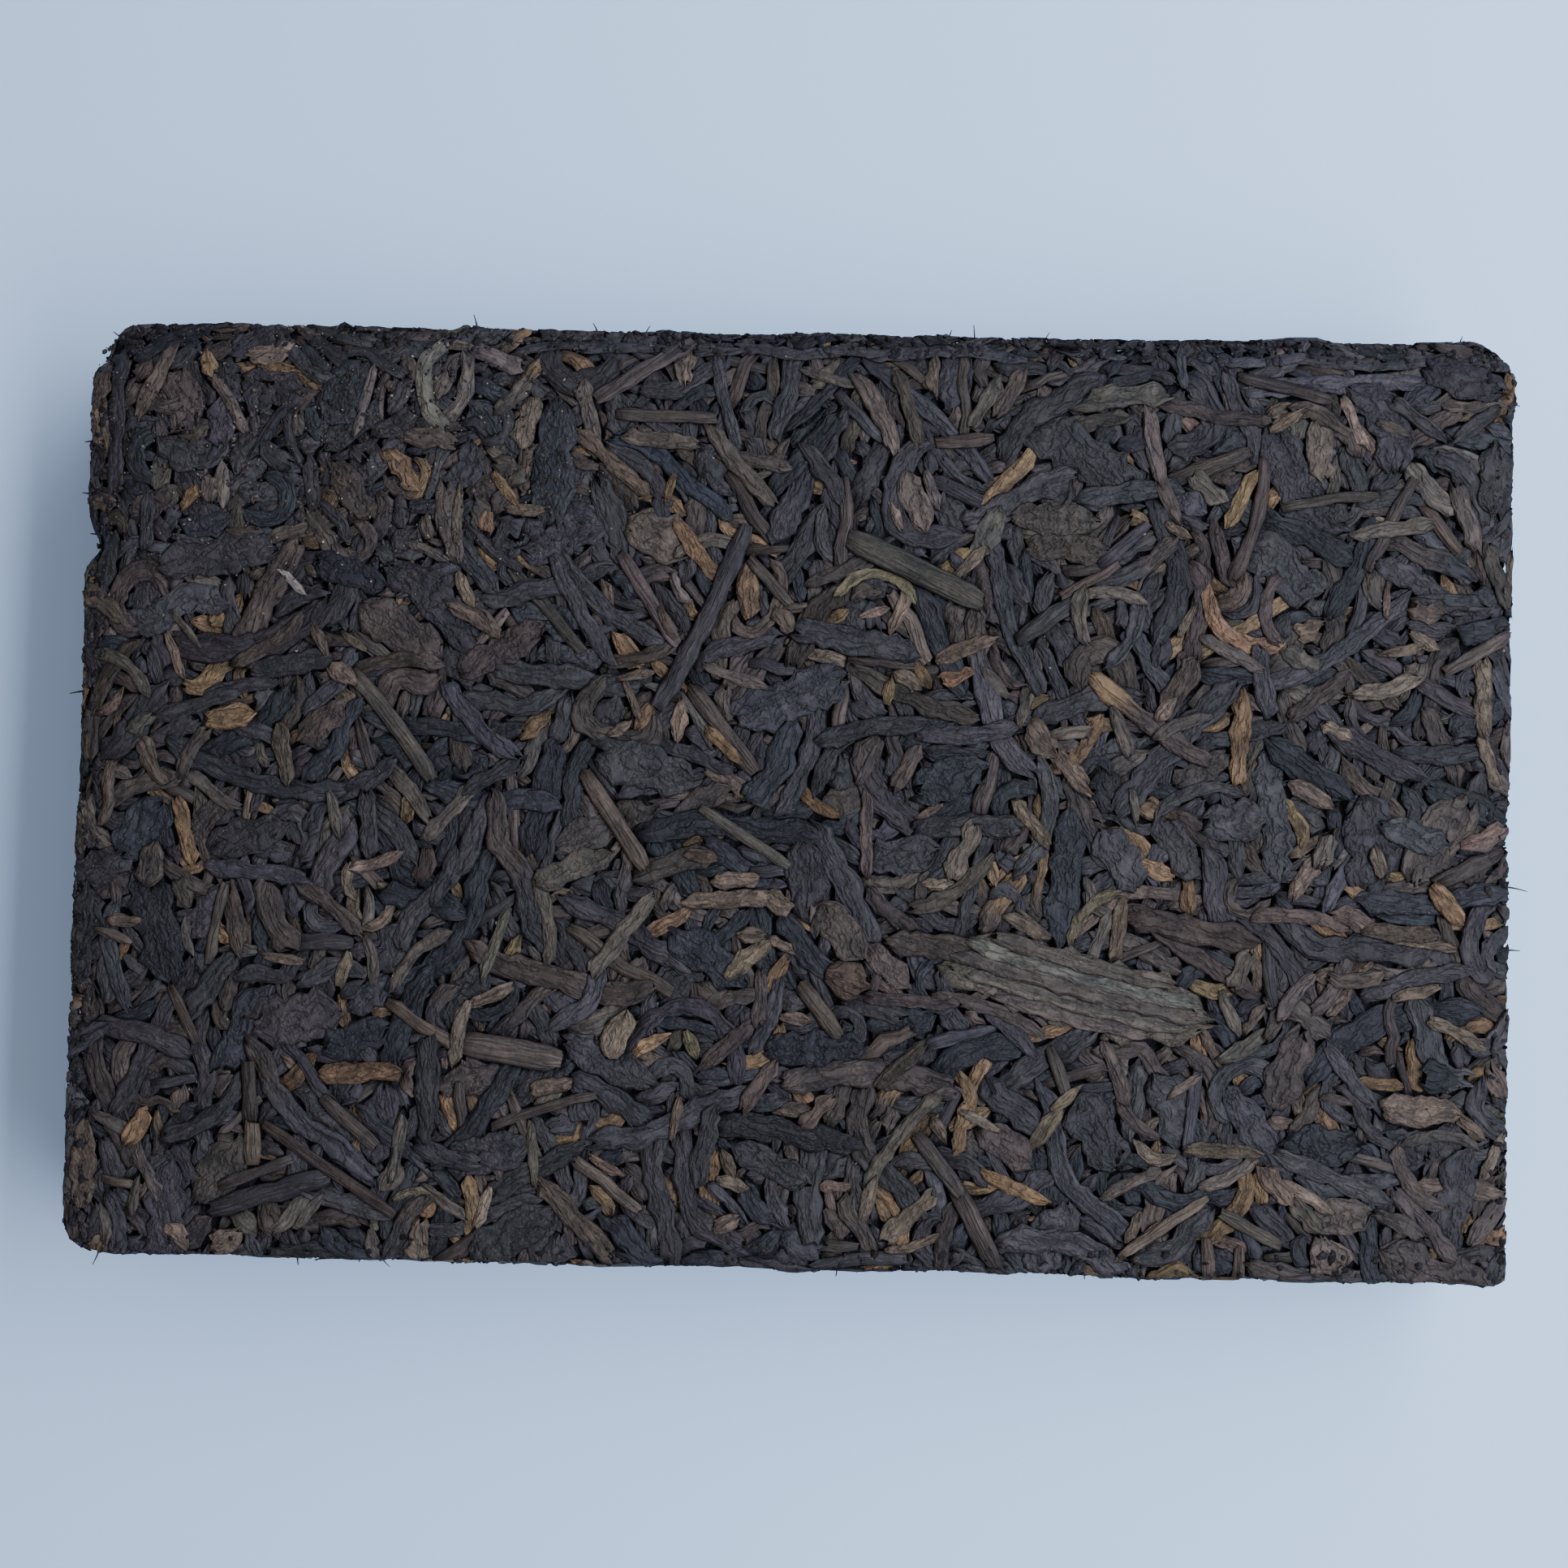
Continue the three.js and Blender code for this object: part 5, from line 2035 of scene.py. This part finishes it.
    def build_core(self) -> None:
        """Builds the crumbly core, which follows the inner side of the leaves and is coloured blue-black as
        painted shade in the gaps.
        """
        bpy.ops.object.select_all(action="DESELECT")
        core = self.node.copy()
        core.data = self.node.data.copy()
        core.name = core.data.name = "crumbly_core"
        core.parent = None
        for key in list(core.keys()):
            del core[key]
        bpy.context.scene.collection.objects.link(core)
        core.select_set(True)
        bpy.context.view_layer.objects.active = core
        remesh = core.modifiers.new("even", "REMESH")
        remesh.mode = "VOXEL"
        remesh.voxel_size = self.CORE_VOXEL * MM
        bpy.ops.object.modifier_apply(modifier=remesh.name)
        mesh = core.data
        points = np.zeros(len(mesh.vertices) * 3)
        mesh.vertices.foreach_get("co", points)
        normals = np.zeros_like(points)
        mesh.vertices.foreach_get("normal", normals)
        points, normals = points.reshape(-1, 3) / MM, normals.reshape(-1, 3)
        depth = np.full(len(points), Cover.CORE_DEPTH)
        for sheet, faces in ((self.face, normals[:, 2] > 0.25), (self.underside, normals[:, 2] < -0.25)):
            cell = sheet.cover.cell(points[faces, 0], points[faces, 1])
            depth[faces] = np.maximum(depth[faces], sheet.cover.depth[cell] + 0.15)
        sides = np.abs(normals[:, 2]) < 0.8
        s, _, _ = self.wall.outline.nearest(points[sides, 0], points[sides, 1])
        cell = self.wall.cover.cell(s, points[sides, 2])
        behind = np.minimum(self.CORE_ON_WALL * self.wall.cover.depth[cell], self.CORE_AT_MOST)
        depth[sides] = np.maximum(np.minimum(depth[sides], self.CORE_AT_MOST), behind)
        depth += self.CORE_GRAIN * self.rng.uniform(-0.5, 1.0, len(points))
        inner = points - normals * np.minimum(depth, 3.2)[:, None]
        mesh.vertices.foreach_set("co", (inner * MM).ravel())
        mesh.materials.clear()
        mesh.materials.append(LEAF_DUST.material())
        tint = mesh.attributes.new("tint", "FLOAT_COLOR", "POINT")
        # Painted shade: the core takes the blue-black shade tone, so the gaps between the leaves show dark.
        colour = np.array(SHADE_BLUE_BLACK.value) * self.rng.uniform(0.6, 1.6, (len(points), 1))
        tint.data.foreach_set("color", np.c_[colour, np.ones(len(points))].ravel())
        grain = mesh.uv_layers.get("leaf_grain") or mesh.uv_layers.new(name="leaf_grain")
        spots = np.zeros(len(mesh.loops), np.int32)
        mesh.loops.foreach_get("vertex_index", spots)
        grain.data.foreach_set("uv", inner[spots][:, :2].ravel())
        mesh.update()
        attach(core, BODY)
        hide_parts(BRICK_NODE)
        log.info("%s: %d faces", core.name, len(mesh.polygons))

    def build(self) -> None:
        """Builds every piece of the brick."""
        self.lay_face()
        self.lay_underside()
        self.lay_walls()
        self.strew_dust()
        self.lay_fibres()
        self.build_core()
        for heap in self.heaps:
            heap.piece()


# ---------------------------------------------------------------- the studio


class Studio:
    """A pale floor, soft light from above and the right, and the camera."""

    FLOOR = 4.0
    FLOOR_COLOUR = (0.46, 0.64, 0.95, 1.0)
    LIGHT_COLOUR = (0.82, 0.91, 1.0)

    def floor(self) -> None:
        """Lays the floor that the brick lies on."""
        bpy.ops.object.select_all(action="DESELECT")
        bpy.ops.mesh.primitive_plane_add(size=self.FLOOR)
        plane = bpy.context.active_object
        plane.name = "floor"
        made = bpy.data.materials.new("pale_floor")
        made.use_nodes = True
        shader = made.node_tree.nodes["Principled BSDF"]
        shader.inputs["Base Color"].default_value = self.FLOOR_COLOUR
        shader.inputs["Roughness"].default_value = 0.7
        plane.data.materials.append(made)

    def lights(self) -> None:
        """Hangs two long lamps along the brick's right side, and lights the room faintly."""
        self._lamp("ceiling_light", (0.21, 0.07, 0.32), (0.15, 0.8), 3.6)
        self._lamp("window", (0.50, 0.05, 0.40), (0.6, 1.0), 2.5)
        world = bpy.data.worlds.new("room")
        world.use_nodes = True
        sky = world.node_tree.nodes["Background"]
        sky.inputs["Color"].default_value = (1.0, 0.95, 0.94, 1.0)
        sky.inputs["Strength"].default_value = 0.50
        bpy.context.scene.world = world

    def _lamp(
        self, name: str, place: tuple[float, float, float], size: tuple[float, float], watts: float
    ) -> None:
        """Hangs a long lamp that leans towards the brick.

        Args:
            name: Its name.
            place: Where it hangs.
            size: Its width, and its length along Y.
            watts: Its power.
        """
        lamp = bpy.data.lights.new(name, "AREA")
        lamp.shape = "RECTANGLE"
        lamp.size, lamp.size_y = size
        lamp.energy = watts
        lamp.color = self.LIGHT_COLOUR
        hung = bpy.data.objects.new(name, lamp)
        hung.location = place
        hung.rotation_euler = (0.0, math.atan2(place[0], place[2]), 0.0)
        bpy.context.scene.collection.objects.link(hung)

    def camera(self) -> None:
        """Sets up the camera, which looks straight down with a slight lean."""
        lens = bpy.data.cameras.new("camera")
        lens.lens = 52.0
        lens.sensor_width = 36.0
        lens.clip_start = 0.01
        held = bpy.data.objects.new("camera", lens)
        held.location = (0.0037, -0.0086, 0.2534)
        held.rotation_euler = tuple(math.radians(a) for a in (2.39, 1.00, 1.18))
        bpy.context.scene.collection.objects.link(held)
        bpy.context.scene.camera = held


def main() -> None:
    """Builds the brick and the studio, and logs how large each piece is."""
    logging.basicConfig(level=logging.INFO, format="%(message)s")
    studio = Studio()
    studio.camera()
    studio.floor()
    studio.lights()
    TeaBrick(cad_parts[BRICK_NODE]).build()


if __name__ == "__main__":
    main()
